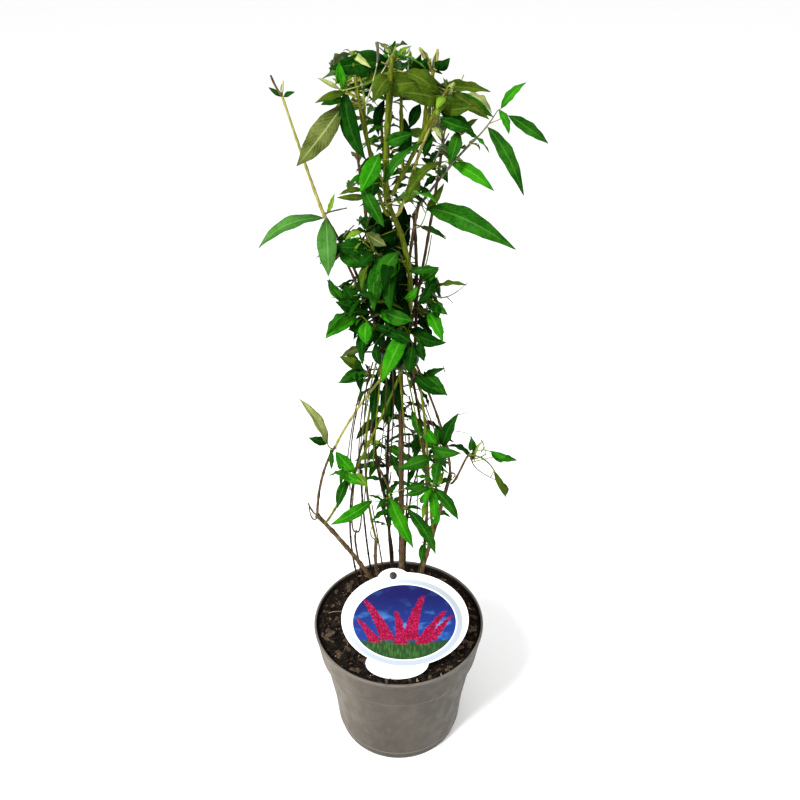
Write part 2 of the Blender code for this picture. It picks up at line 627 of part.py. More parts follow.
def limb_curve(name):
    """The middle line of a limb, with the straight stretches that it has inside the tie."""
    limb = LIMBS[name]
    before, after = [], []
    if isinstance(limb.root, Foot):
        start = Vector((*limb.root, COMPOST_TOP + GAP))
        foot_axis = Vector((0, 0, 1))
    elif isinstance(limb.root, Tie):
        start = tie_place(limb.root.place, TIE_HIGH)
        before = [tie_place(limb.root.place, TIE_SPLIT + GAP)]
        foot_axis = Vector((0, 0, 1))
    else:
        start, foot_axis = fork_point(limb.root)
    if isinstance(limb.end, Tie):
        end = tie_place(limb.end.place, TIE_LOW)
        after = [tie_place(limb.end.place, TIE_SPLIT)]
    else:
        end = Vector(limb.end)
    through = Vector(limb.through)
    if isinstance(limb.root, Fork) and limb.root.up < 1:
        first = start + foot_axis * (ELBOW_SPREAD * limb.thick)
        second = (through * 8 - start - first * 3 - end) / 3
    else:
        bend = through * 2 - (start + end) / 2
        first, second = start.lerp(bend, 2 / 3), end.lerp(bend, 2 / 3)
    points = [start, first, second, end]
    end_axis = Vector((0, 0, 1)) if after else bezier_axis(points, 1)
    return Curve(points, foot_axis, end_axis, before, after)


def limb_radius(name, share):
    limb = LIMBS[name]
    return limb.thick + (limb.thin - limb.thick) * share


def fork_point(fork):
    """Where a limb or shoot leaves its limb, clear of the bark, and the direction it leaves in."""
    curve = limb_curve(fork.limb)
    if fork.up >= 1:
        return curve.points[-1] + curve.end_axis * GAP, curve.end_axis
    axis = bezier_axis(curve.points, fork.up)
    away = bearing_vector(fork.towards)
    away = (away - axis * away.dot(axis)).normalized()
    return bezier(curve.points, fork.up) + away * (limb_radius(fork.limb, fork.up) + GAP), away


def rings_along(places, axes, radii, sides):
    """Round rings that don't twist, one at each place."""
    across = axes[0].orthogonal().normalized()
    rings = []
    for place, axis, radius in zip(places, axes, radii):
        across = (across - axis * across.dot(axis)).normalized()
        other = axis.cross(across)
        rings.append([
            place + (across * math.cos(turn) + other * math.sin(turn)) * radius
            for turn in (math.tau * side / sides for side in range(sides))
        ])
    return rings


def fork_shares(name):
    """How far up a limb its side forks leave it, each once."""
    roots = [item.root for item in (*LIMBS.values(), *MASSES.values())]
    forks = {root.up for root in roots if isinstance(root, Fork) and root.limb == name}
    return sorted(forks - {1})


def limb_rings(name):
    """Rings of one tapering limb, with a root flare at a foot and a knot at a free end."""
    limb, curve = LIMBS[name], limb_curve(name)
    length = sum(
        (bezier(curve.points, step / 20) - bezier(curve.points, (step + 1) / 20)).length
        for step in range(20)
    )
    steps = max(4, round(length / LIMB_STEP))
    forks = fork_shares(name)
    shares = [
        share for share in (step / steps for step in range(steps + 1))
        if share in (0, 1) or all(abs(share - fork) * length > LIMB_STEP / 3 for fork in forks)
    ]
    shares = sorted(shares + forks)
    if isinstance(limb.root, Foot):
        shares.insert(1, FLARE_HEIGHT / 2 / length)
    elif isinstance(limb.root, Fork) and limb.root.up < 1:
        shares.insert(1, ELBOW_LENGTH / length)
    places = [bezier(curve.points, share) for share in shares]
    axes = [bezier_axis(curve.points, share) for share in shares]
    axes[0], axes[-1] = curve.foot_axis, curve.end_axis
    radii = []
    for share in shares:
        radius = limb_radius(name, share)
        if isinstance(limb.root, Foot):
            radius *= 1 + ROOT_FLARE * math.exp(-share * length / FLARE_HEIGHT)
        if not curve.after:
            radius *= 1 + KNOT_SWELL * math.exp(-(((1 - share) * length / KNOT_LENGTH) ** 2))
        radii.append(radius)
    places = curve.before + places + curve.after
    axes = [Vector((0, 0, 1))] * len(curve.before) + axes + [Vector((0, 0, 1))] * len(curve.after)
    radii = radii[:1] * len(curve.before) + radii + radii[-1:] * len(curve.after)
    sides = THICK_LIMB_SIDES if limb.thick > THICK_LIMB_RADIUS else LIMB_SIDES
    return rings_along(places, axes, radii, sides)


def shoot_curve(mass):
    """The middle line of a mass's own stem: off its limb, then bending to its tip."""
    start, away = fork_point(mass.root)
    tip = Vector(mass.tip)
    bend = start + away * (tip - start).length * 0.4
    return [start, start.lerp(bend, 2 / 3), tip.lerp(bend, 2 / 3), tip], away


def shoot_rings(mass):
    points, away = shoot_curve(mass)
    steps = max(3, round((points[-1] - points[0]).length / TWIG_STEP))
    shares = [step / steps for step in range(steps + 1)]
    axes = [away] + [bezier_axis(points, share) for share in shares[1:]]
    radii = [mass.thick * (1 - (1 - TWIG_TAPER) * share) for share in shares]
    return rings_along([bezier(points, share) for share in shares], axes, radii, 3)


def blade_frame(blade):
    """The directions along a leaf, across it, and out of its upper face."""
    level = bearing_vector(blade.towards)
    rise, roll = math.radians(blade.rise), math.radians(blade.roll)
    along = level * math.cos(rise) + Vector((0, 0, math.sin(rise)))
    upper = Vector((0, 0, math.cos(rise))) - level * math.sin(rise)
    side = Vector((-level.y, level.x, 0))
    across = side * math.cos(roll) + upper * math.sin(roll)
    face = upper * math.cos(roll) - side * math.sin(roll)
    return along, across, face


def side_twig(mass, blade):
    """The foot of a leaf on the shoot, and where its side twig carries it."""
    points, _ = shoot_curve(mass)
    foot = bezier(points, blade.up)
    level = bearing_vector(blade.towards)
    rise = math.radians(SIDE_TWIG_RISE)
    return foot, foot + (level * math.cos(rise) + Vector((0, 0, math.sin(rise)))) * blade.out


def blade_rings(start, blade, grow=0.0):
    """A leaf from its sunk root to its tip. Between them, four points to a ring: one edge, the
    upper face, the other edge and the midrib below."""
    along, side, face = blade_frame(blade)
    rings = [[start - along * (LEAF_SINK + grow)] * 4]
    for share, wide in LARGE_SHAPE if blade.length > LARGE_LEAF else SMALL_SHAPE:
        arch = LEAF_ARCH * blade.length * 4 * share * (1 - share)
        middle = start + along * (blade.length * share) + face * arch
        half = side * (blade.width / 2 * wide + grow)
        lift = face * (LEAF_FOLD * blade.width / 2 * wide)
        thick = face * (LEAF_THICKNESS / 2 + grow)
        rings.append([middle - half + lift, middle + thick, middle + half + lift, middle - thick])
    rings.append([start + along * (blade.length + grow)] * 4)
    return rings


def grow_rings(rings, margin):
    """Rings pushed outwards, for a test of what lies close by."""
    grown = []
    for ring in rings:
        middle = sum(ring, Vector()) / len(ring)
        grown.append([point + (point - middle).normalized() * margin for point in ring])
    return grown


def nudged(blade, turn):
    """The same leaf a little further round, and less steep."""
    return blade._replace(towards=blade.towards + turn, rise=blade.rise + abs(turn) / 3)


def rule_blades(name, mass):
    """Opposite pairs up a shoot, each pair a quarter turn from the last, smaller to the tip."""
    draw = random.Random(name)
    points, _ = shoot_curve(mass)
    first_turn = draw.uniform(0, 180)
    for pair in range(mass.pairs):
        up = min(1.0, (pair + 0.85) / mass.pairs)
        axis = bezier_axis(points, up)
        across = axis.orthogonal().normalized()
        other = axis.cross(across)
        opening = math.radians(LEAF_OPENING)
        for half in (0, 180):
            scatter = draw.uniform(-LEAF_SCATTER, LEAF_SCATTER)
            turn = math.radians(first_turn + 90 * pair + half + scatter)
            away = across * math.cos(turn) + other * math.sin(turn)
            aim = axis * math.cos(opening) + away * math.sin(opening)
            length = mass.leaf * draw.uniform(*LEAF_SIZES) * (1.1 - 0.4 * up)
            yield Blade(
                up=up,
                out=max(0.0, draw.uniform(-0.3, 0.4)) * mass.leaf,
                towards=math.degrees(math.atan2(aim.y, aim.x)),
                rise=math.degrees(math.asin(aim.z)) - LEAF_DROOP * draw.uniform(0.6, 1.6),
                length=length,
                width=length * LEAF_WIDTH_SHARE * draw.uniform(0.9, 1.1),
                roll=draw.uniform(-LEAF_ROLL, LEAF_ROLL),
            )


def touches(tree, name, taken):
    """Whether a shape meets anything that belongs to another node."""
    return any(
        tree.overlap(other) for owner, trees in taken.items() if owner != name for other in trees
    )


def tree_of(bm):
    tree = BVHTree.FromBMesh(bm)
    bm.free()
    return tree


def place_blade(name, mass, blade, taken):
    """The skins of one leaf and its side twig, turned a little until clear, or None."""
    for turn in NUDGES:
        turned_blade = nudged(blade, turn)
        foot, start = side_twig(mass, turned_blade)
        rings = [blade_rings(start, turned_blade)]
        trees = [tree_of(swept(blade_rings(start, turned_blade, CLEARANCE)))]
        if blade.out > SHORTEST_SIDE_TWIG:
            axis = (start - foot).normalized()
            end = start + axis * SIDE_TWIG_RADIUS
            radii = [SIDE_TWIG_RADIUS * 1.3, SIDE_TWIG_RADIUS]
            twig = rings_along([foot, end], [axis, axis], radii, 3)
            rings.append(twig)
            trees.append(tree_of(swept(grow_rings(twig, CLEARANCE))))
        if not any(touches(tree, name, taken) for tree in trees):
            taken[name].extend(trees)
            return rings
    return None


def make_limbs(materials, taken):
    for name in LIMBS:
        rings = limb_rings(name)
        old = rings[0][0].z < OLD_WOOD_HEIGHT
        wood = materials["old wood" if old else "young wood"]
        add_object(name, swept(rings), wood, smooth=True)
        taken[name] = [tree_of(swept(rings))]


def fuse_mass(name, pieces, material):
    """Joins a mass by one union. Where its skin doesn't close, one piece is left out."""
    for left_out in (None, *range(len(pieces) - 1, 0, -1)):
        kept = [rings for number, rings in enumerate(pieces) if number != left_out]
        stem, *others = [add_object(name, swept(rings), material) for rings in kept]
        if boolean(stem, "UNION", others, name):
            break
        bpy.data.objects.remove(stem)
    stem.data.materials.clear()
    stem.data.materials.append(material)


def make_masses(materials, taken):
    """Stems first, then leading leaves, then the pairs of the rule, so that each keeps clear."""
    skins = {}
    for name, mass in MASSES.items():
        rings = shoot_rings(mass)
        skins[name] = [rings]
        taken[name] = [tree_of(swept(grow_rings(rings, GAP / 2)))]
    for name, mass in MASSES.items():
        for blade in mass.leads:
            skins[name].extend(place_blade(name, mass, blade, taken) or [])
    for name, mass in MASSES.items():
        for blade in rule_blades(name, mass):
            skins[name].extend(place_blade(name, mass, blade, taken) or [])
    for name, pieces in skins.items():
        fuse_mass(name, pieces, materials["leaf"])


def main():
    clear_scene()
    materials = make_materials()
    solids = [make(materials) for make in (make_pot, make_compost, make_tie, make_card, make_peg)]
    taken = {}
    for solid in solids:
        bm = bmesh.new()
        bm.from_mesh(solid.data)
        taken[solid.name] = [tree_of(bm)]
    make_limbs(materials, taken)
    make_masses(materials, taken)


main()
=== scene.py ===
"""The looks of a young butterfly bush that stands in a round nursery pot.

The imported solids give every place. The pot, the compost, the plant card, the band, the stems and
the foliage are modelled again here in fine detail, and each takes the place of its plain solid.
The tables of stems and leaves are in millimetres and degrees, the gaps of the sky are in pixels of
the camera's picture, and everything else is in metres.
"""

import logging
import math
import random
from collections.abc import Iterator, Sequence
from dataclasses import dataclass, field
from enum import Enum

import bmesh
import bpy
from mathutils import Euler, Matrix, Vector, noise


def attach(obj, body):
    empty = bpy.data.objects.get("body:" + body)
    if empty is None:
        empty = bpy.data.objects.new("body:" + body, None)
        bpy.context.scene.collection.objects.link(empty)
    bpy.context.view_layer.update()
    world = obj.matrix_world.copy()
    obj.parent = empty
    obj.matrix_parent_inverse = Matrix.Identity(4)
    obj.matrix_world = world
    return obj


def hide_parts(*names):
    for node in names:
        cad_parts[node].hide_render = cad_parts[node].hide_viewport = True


LOG = logging.getLogger("butterfly_bush")

Colour = tuple[float, float, float]
Place = tuple[float, float, float]

MM = 0.001
UP = Vector((0.0, 0.0, 1.0))
# The turns of the two leaves of an opposite pair, and the turn from one pair to the next.
PAIR = (0, 180)
NEXT_PAIR = 90
TWIG_BARK_SIZE = 0.003


class Tone(Enum):
    """How a leaf catches the light: the place of its finish among the leaf finishes. Dark, mid and
    bright are partly the leaves' own greens and partly painted light and shade; the soft, sheen-lit
    tone is a painted sheen, and the deep tone is painted shade inside the bush; fresh, olive, pale
    and felted are the leaves' own colours.
    """

    DARK = 0
    MID = 1
    BRIGHT = 2
    FRESH = 3
    OLIVE = 4
    PALE = 5
    SOFT = 6
    FELT = 7
    PAINTED_SHADE = 8


class Wood(Enum):
    """The age and colour of a stem: the place of its finish among the bark finishes."""

    BROWN = 0
    DARK = 1
    STRAW = 2
    OLIVE = 3
    GREEN = 4
    GREY = 5
    PALE = 6


@dataclass(frozen=True)
class Foot:
    """Where a stem stands in the compost."""

    x: float
    y: float


@dataclass(frozen=True)
class Fork:
    """Where a shoot leaves a limb: its name, the share up it, and the bearing in degrees."""

    limb: str
    up: float
    towards: float


@dataclass(frozen=True)
class Tie:
    """One of the places that the band holds a stem in."""

    place: int


@dataclass(frozen=True)
class Spot:
    """A bare point on another stem, where a small twig starts."""

    x: float
    y: float
    z: float


@dataclass(frozen=True)
class Limb:
    """One tapering stem, from its root through a point to its end."""

    root: Foot | Fork | Tie
    through: Place
    end: Place | Tie
    thick: float
    thin: float
    wood: Wood


@dataclass(frozen=True)
class Blade:
    """One leaf: its place up the shoot, side twig, bearing, rise, length, width, roll, tone."""

    up: float
    out: float
    towards: float
    rise: float
    length: float
    width: float
    roll: float
    tone: Tone


@dataclass(frozen=True)
class Spray:
    """A shoot with its leading leaves, and the rule that grows the others unless it is bare."""

    root: Fork
    tip: Place
    thick: float
    pairs: int
    leaf: float
    leads: tuple[Blade, ...] = ()
    wood: Wood | None = None
    bare: bool = False
    bend: float = 0.4
    stoutness: float = 0.8


@dataclass(frozen=True)
class BareTwig:
    """A thin twig without leaves, a cut stub or a bud's stalk."""

    name: str
    root: Foot | Spot
    through: Place
    end: Place
    thick: float
    thin: float
    wood: Wood


@dataclass(frozen=True)
class FreeLeaf:
    """A listed leaf: its foot, bearing, rise, length, width, roll and tone."""

    place: Place
    towards: float
    rise: float
    length: float
    width: float
    roll: float
    tone: Tone


@dataclass(frozen=True)
class Path:
    """The middle line of a limb: a cubic curve, and the straight stretches before and after."""

    points: tuple[Vector, ...]
    foot_axis: Vector
    end_axis: Vector
    before: tuple[Vector, ...] = ()
    after: tuple[Vector, ...] = ()


LIMBS: dict[str, Limb] = {
    "main_stem": Limb(Foot(3, 22), (3, 13, 300), Tie(8), 3.4, 2.4, Wood.BROWN),
    "low_left_stem": Limb(Foot(-6, 15), (-42, 6, 228), (-84, 0, 299), 2.5, 2.2, Wood.BROWN),
    "low_left_rise": Limb(
        Fork("low_left_stem", 1, 0), (-76, -6, 352), (-61, -10, 392), 1.4, 1.2, Wood.BROWN,
    ),
    "low_left_shoot": Limb(
        Fork("low_left_rise", 1, 0), (-38, -12, 436), Tie(5), 1.2, 1.1, Wood.STRAW,
    ),
    "low_left_link": Limb(
        Fork("low_left_stem", 0.93, 330), (-44, -14, 362), Tie(6), 1.3, 1.1, Wood.OLIVE,
    ),
    "upright_left_stem": Limb(Foot(-12, 25), (-24, 18, 203), (-24, 15, 252), 1.9, 1.8, Wood.BROWN),
    "inner_left_rise": Limb(
        Fork("upright_left_stem", 1, 0), (-33, 8, 370), Tie(4), 1.3, 1.1, Wood.OLIVE,
    ),
    "main_left_fork": Limb(
        Fork("main_stem", 0.41, 160), (-22, 19, 352), Tie(3), 1.9, 1.3, Wood.DARK,
    ),
    "low_right_stem": Limb(Foot(12, 16), (33, 3, 256), (51, -10, 357), 2.4, 1.9, Wood.BROWN),
    "low_right_rise": Limb(
        Fork("low_right_stem", 1, 0), (42, -7, 408), Tie(0), 1.4, 1.1, Wood.BROWN,
    ),
    "low_right_arm": Limb(
        Fork("low_right_stem", 0.95, 345), (62, -17, 374), (70, -22, 385), 1.2, 1, Wood.BROWN,
    ),
    "inner_right_rise": Limb(
        Fork("low_right_stem", 0.62, 240), (28, -18, 385), Tie(7), 1.3, 1.1, Wood.OLIVE,
    ),
    "back_right_stem": Limb(Foot(14, 26), (30, 20, 300), Tie(1), 1.9, 1.2, Wood.DARK),
    "back_left_stem": Limb(Foot(-3, 34), (-12, 38, 310), Tie(2), 1.9, 1.2, Wood.DARK),
    "centre_leader": Limb(Tie(8), (10, -4, 565), (-10, 0, 630), 2.6, 2.2, Wood.OLIVE),
    "right_leader": Limb(Tie(0), (16, 4, 560), (13, 0, 619), 1.5, 1.4, Wood.DARK),
    "left_bough": Limb(Tie(4), (-33, -6, 560), (-59, -15, 620), 1.4, 1.2, Wood.BROWN),
    "back_left_bough": Limb(Tie(3), (-24, 26, 575), (-36, 38, 668), 1.5, 1.2, Wood.BROWN),
    "back_right_bough": Limb(Tie(1), (24, 26, 575), (38, 36, 672), 1.5, 1.2, Wood.BROWN),
    "crown_bough": Limb(
        Fork("centre_leader", 1, 0), (-9, 0, 668), (-6, 0, 701), 2, 1.7, Wood.OLIVE,
    ),
    "crown_left_bough": Limb(
        Fork("centre_leader", 0.92, 200), (-20, -5, 655), (-26, -9, 707), 1.5, 1.2, Wood.OLIVE,
    ),
    "crown_right_bough": Limb(
        Fork("centre_leader", 0.9, 330), (11, -6, 652), (31, -9, 702), 1.5, 1.2, Wood.STRAW,
    ),
    "thin_right_bough": Limb(
        Fork("right_leader", 1, 0), (39, -10, 658), (61, -14, 684), 1.1, 0.9, Wood.GREY,
    ),
    "crown_back_bough": Limb(
        Fork("centre_leader", 0.94, 90), (-11, 16, 654), (-12, 30, 702), 1.4, 1.1, Wood.OLIVE,
    ),
}
SPRAYS: dict[str, Spray] = {
    "crown_left": Spray(Fork("left_bough", 1, 0), (-88, -15, 716), 1.3, 2, 30, (
        # The two hanging leaves take the soft tone: a green with a painted sheen.
        Blade(0.03, 0, 192, -18, 59.2, 13, -28, Tone.SOFT),
        Blade(0.03, 0, 276, -73, 46.5, 16.6, 11, Tone.SOFT),
        Blade(0.1, 2.9, 21, 67, 17.1, 4, 53, Tone.FRESH),
        Blade(0.99, 0, 179, 38, 11.8, 3.8, -58, Tone.DARK),
        Blade(0.99, 0.6, 324, 23, 12.1, 3.8, 80, Tone.DARK),
        Blade(0.99, 0, 3, 82, 11.5, 2.5, -58, Tone.PALE),
    ), wood=Wood.STRAW, bare=True, bend=0.1, stoutness=1.25),
    "crown_top_left": Spray(Fork("crown_left_bough", 1, 0), (-36, -4, 745), 1, 2, 40, (
        Blade(0.15, 17.4, 187, 82, 19.6, 5.3, -79, Tone.BRIGHT),
        Blade(0.12, 20.5, 184, 28, 18.3, 4, -61, Tone.PALE),
        Blade(0.1, 17.9, 210, -10, 24.9, 6, -64, Tone.OLIVE),
        Blade(1, 0.1, 323, -26, 22.1, 5.2, 50, Tone.PALE),
    )),
    "crown_top": Spray(Fork("crown_bough", 1, 0), (-4, 0, 744), 1.4, 3, 42, (
        Blade(0.78, 10, 189, -5, 39.7, 14.3, -76, Tone.DARK),
        Blade(0.61, 3.6, 247, -20, 33.5, 15, -37, Tone.OLIVE),
        Blade(0.89, 0.2, 190, 48, 17.7, 3.9, 50, Tone.PALE),
        Blade(0.89, 0.5, 352, 36, 16.6, 3.7, 53, Tone.FRESH),
    ), wood=Wood.OLIVE),
    "crown_right_top": Spray(Fork("crown_right_bough", 1, 0), (37, -9, 718), 1.1, 1, 40, (
        Blade(0.18, 0, 324, 12, 29.1, 9.9, 77, Tone.OLIVE),
        Blade(0.85, 4.9, 342, -30, 35.1, 9.1, 65, Tone.OLIVE),
        Blade(0.56, 2.3, 212, 15, 38.3, 15, -82, Tone.OLIVE),
        Blade(0.71, 0, 3, 59, 13.6, 4.6, 65, Tone.PALE),
        Blade(0.56, 3.6, 245, -42, 14.3, 6.1, -16, Tone.FRESH),
        Blade(0.1, 0, 350, -31, 33.2, 9.3, 68, Tone.MID),
    )),
    "crown_top_right": Spray(Fork("crown_right_bough", 0.72, 60), (25, 6, 739), 1.1, 2, 40, (
        Blade(0.93, 0.1, 201, 61, 19.9, 4.4, 29, Tone.PALE),
        Blade(0.92, 1.5, 339, 79, 16.6, 3.7, -40, Tone.PALE),
        Blade(0.93, 2.9, 325, 33, 12.3, 6.9, 83, Tone.DARK),
        Blade(0.92, 2.7, 200, 32, 16.3, 7.7, -85, Tone.DARK),
        Blade(0.81, 0.8, 1, -4, 44.6, 9.8, 50, Tone.OLIVE),
    ), wood=Wood.STRAW, bare=True),
    "crown_right_tip": Spray(Fork("thin_right_bough", 1, 0), (76, -16, 705), 0.9, 1, 30, (
        Blade(1, 2.7, 6, 47, 26, 6.8, 62, Tone.BRIGHT),
        Blade(1, 1.6, 311, -54, 19.8, 6.1, 35, Tone.BRIGHT),
        Blade(0.58, 16.4, 346, -30, 37.4, 9, 71, Tone.MID),
        Blade(0.42, 2.9, 313, -47, 58.4, 11, 44, Tone.MID),
    ), wood=Wood.GREY, bare=True),
    "crown_right_inner": Spray(Fork("thin_right_bough", 0.55, 120), (49, -8, 688), 0.9, 2, 30, (
        Blade(0.1, 1.9, 330, -24, 42.2, 10.3, 59, Tone.BRIGHT),
        Blade(0.95, 4.8, 248, -48, 27.3, 10.1, -13, Tone.MID),
        Blade(0.85, 0, 30, 34, 23.9, 5.5, 47, Tone.OLIVE),
        Blade(0.1, 5.9, 217, -35, 46.8, 10.3, -7, Tone.OLIVE),
    )),
    "crown_right_low": Spray(Fork("right_leader", 0.9, 300), (24, -10, 628), 0.9, 1, 26, (
        Blade(0.96, 0, 324, -11, 83.6, 17.5, 59, Tone.MID),
        Blade(0.35, 0, 325, -9, 26, 5.7, 32, Tone.DARK),
        Blade(0.9, 0, 350, 61, 26.6, 6.5, 77, Tone.OLIVE),
    )),
    "crown_front": Spray(Fork("centre_leader", 0.95, 262), (-14, -16, 661), 0.9, 2, 36, (
        Blade(0.44, 18.2, 197, 4, 24.1, 5.6, -61, Tone.OLIVE),
        Blade(0.82, 1.8, 349, 51, 44.1, 9.7, 53, Tone.MID),
    )),
    "crown_back": Spray(Fork("crown_back_bough", 1, 0), (-10, 34, 738), 1.1, 4, 54),
    "crown_back_left": Spray(Fork("back_left_bough", 1, 0), (-52, 52, 722), 1.1, 4, 58),
    "crown_back_right": Spray(Fork("back_right_bough", 1, 0), (54, 50, 720), 1.1, 4, 58),
    "upper_front": Spray(Fork("centre_leader", 0.62, 250), (-20, -18, 592), 1, 3, 40, (
        Blade(0.1, 9.6, 227, -32, 27.4, 11.7, -37, Tone.BRIGHT),
        Blade(0.87, 0, 254, -63, 46.5, 10.9, -10, Tone.MID),
        Blade(1, 6.5, 194, 8, 27.2, 14, -67, Tone.DARK),
        Blade(1, 0.5, 228, -20, 22.6, 9.9, -43, Tone.DARK),
    )),
    "upper_right": Spray(Fork("right_leader", 0.24, 330), (22, -8, 563), 1, 3, 38, (
        Blade(1, 0, 319, 43, 20.8, 10.2, 83, Tone.MID),
        Blade(0.69, 2.1, 298, 67, 26.5, 6.9, 83, Tone.DARK),
        Blade(0.64, 0, 311, -8, 25.5, 10.4, 44, Tone.MID),
        Blade(0.1, 14.4, 297, -30, 31.6, 11.3, 23, Tone.BRIGHT),
        Blade(0.83, 5.7, 341, 18, 32.4, 7.1, 11, Tone.OLIVE),
    )),
    "upper_left": Spray(Fork("left_bough", 0.22, 230), (-40, -18, 556), 1, 3, 38, (
        Blade(0.86, 0, 197, 60, 17.1, 12.8, -85, Tone.DARK),
        Blade(0.72, 0, 210, 30, 22, 10.3, -73, Tone.DARK),
        Blade(0.74, 11.2, 178, 57, 25.3, 7.7, -64, Tone.MID),
        Blade(0.58, 3.4, 221, -18, 36.3, 11.2, -46, Tone.BRIGHT),
        Blade(0.1, 9.5, 265, -47, 20.9, 12.2, -1, Tone.MID),
        Blade(0.43, 18.9, 334, 0, 30.1, 12, 56, Tone.BRIGHT),
        Blade(0.22, 7.5, 222, -18, 15.1, 7.9, -43, Tone.DARK),
    )),
    "upper_back_left": Spray(Fork("back_left_bough", 0.42, 100), (-30, 44, 590), 1, 4, 48),
    "upper_back_right": Spray(Fork("back_right_bough", 0.4, 70), (30, 44, 585), 1, 4, 48),
    "mid_front": Spray(Fork("centre_leader", 0.14, 280), (5, -24, 527), 1, 2, 34, (
        Blade(0.66, 0.9, 232, -47, 49.6, 14.9, -28, Tone.BRIGHT),
        Blade(0.24, 2, 331, -7, 27.2, 8.8, 50, Tone.DARK),
    )),
    "mid_left": Spray(Fork("inner_left_rise", 0.93, 200), (-35, -16, 483), 0.9, 2, 32, (
        Blade(0.81, 0, 222, -7, 26.8, 9, -43, Tone.MID),
        Blade(0.95, 0, 213, 54, 15.3, 8.1, -85, Tone.DARK),
        Blade(1, 0, 213, 39, 23.7, 9.8, -76, Tone.OLIVE),
    )),
    "mid_right": Spray(Fork("low_right_rise", 0.9, 320), (23, -14, 476), 0.9, 2, 32, (
        Blade(1, 0, 323, -29, 30.1, 10.9, 41, Tone.MID),
        Blade(0.83, 0, 328, 30, 23.6, 6.3, 65, Tone.DARK),
    )),
    "mid_back": Spray(Fork("back_left_stem", 0.93, 90), (2, 32, 476), 0.9, 3, 42),
    "low_left": Spray(Fork("low_left_rise", 0.95, 190), (-67, -15, 405), 0.9, 1, 18, (
        Blade(0.56, 0, 184, 65, 57.4, 12.6, -31, Tone.PALE),
        Blade(0.7, 0, 209, 32, 21.7, 8.6, -61, Tone.DARK),
        Blade(0.1, 2.1, 270, -69, 21.2, 4.8, -1, Tone.MID),
    ), bare=True),
    "low_left_inner": Spray(Fork("low_left_link", 0.47, 180), (-51, -20, 376), 0.9, 2, 24, (
        Blade(0.86, 0, 207, 68, 21.5, 11.5, -85, Tone.BRIGHT),
        Blade(0.49, 13.8, 327, -34, 17.7, 7.7, 32, Tone.FRESH),
        Blade(0.1, 0.4, 244, -43, 30.9, 9.8, -19, Tone.MID),
    )),
    "low_centre": Spray(Fork("main_stem", 0.5, 240), (-10, -12, 336), 0.9, 2, 26, (
        Blade(0.95, 0, 309, -46, 56.9, 14, 23, Tone.BRIGHT),
        Blade(0.79, 22, 205, -19, 46.7, 11.9, -40, Tone.BRIGHT),
        Blade(0.59, 22, 322, -47, 55.2, 12.1, 32, Tone.MID),
    )),
    "low_right_inner": Spray(Fork("inner_right_rise", 0.38, 290), (34, -27, 364), 0.9, 2, 24, (
        Blade(0.13, 0.8, 333, -44, 43, 10.9, 41, Tone.MID),
        Blade(0.11, 0, 284, -59, 33.9, 9.9, 8, Tone.BRIGHT),
        Blade(0.1, 2.2, 203, -6, 26.6, 7.8, -40, Tone.MID),
    )),
    "low_right": Spray(Fork("low_right_rise", 0.22, 200), (38, -16, 399), 0.9, 2, 28, (
        Blade(0.89, 5.1, 358, 71, 36.9, 12.3, 71, Tone.DARK),
        Blade(0.92, 1.3, 181, 55, 25.5, 8.6, -64, Tone.BRIGHT),
        Blade(0.21, 16, 205, -4, 33.8, 13.4, -46, Tone.MID),
        Blade(0.1, 0, 233, 36, 29.6, 7.7, -73, Tone.MID),
    )),
    "right_sprig": Spray(Fork("low_right_arm", 1, 0), (101, -30, 363), 0.8, 2, 16, (
        Blade(0.98, 1.3, 315, -69, 14.5, 5.8, 32, Tone.OLIVE),
        Blade(0.1, 21.2, 346, 1, 23.3, 7.6, 47, Tone.MID),
        Blade(0.1, 2.7, 358, 78, 23.8, 5.2, 35, Tone.PALE),
        Blade(0.1, 0.8, 186, 86, 29.8, 6.6, -55, Tone.MID),
    ), wood=Wood.GREY, bare=True),
    "low_back": Spray(Fork("back_left_stem", 0.55, 100), (-14, 52, 352), 0.9, 3, 40),
    "low_back_right": Spray(Fork("back_right_stem", 0.62, 50), (40, 34, 392), 0.9, 3, 40),
}
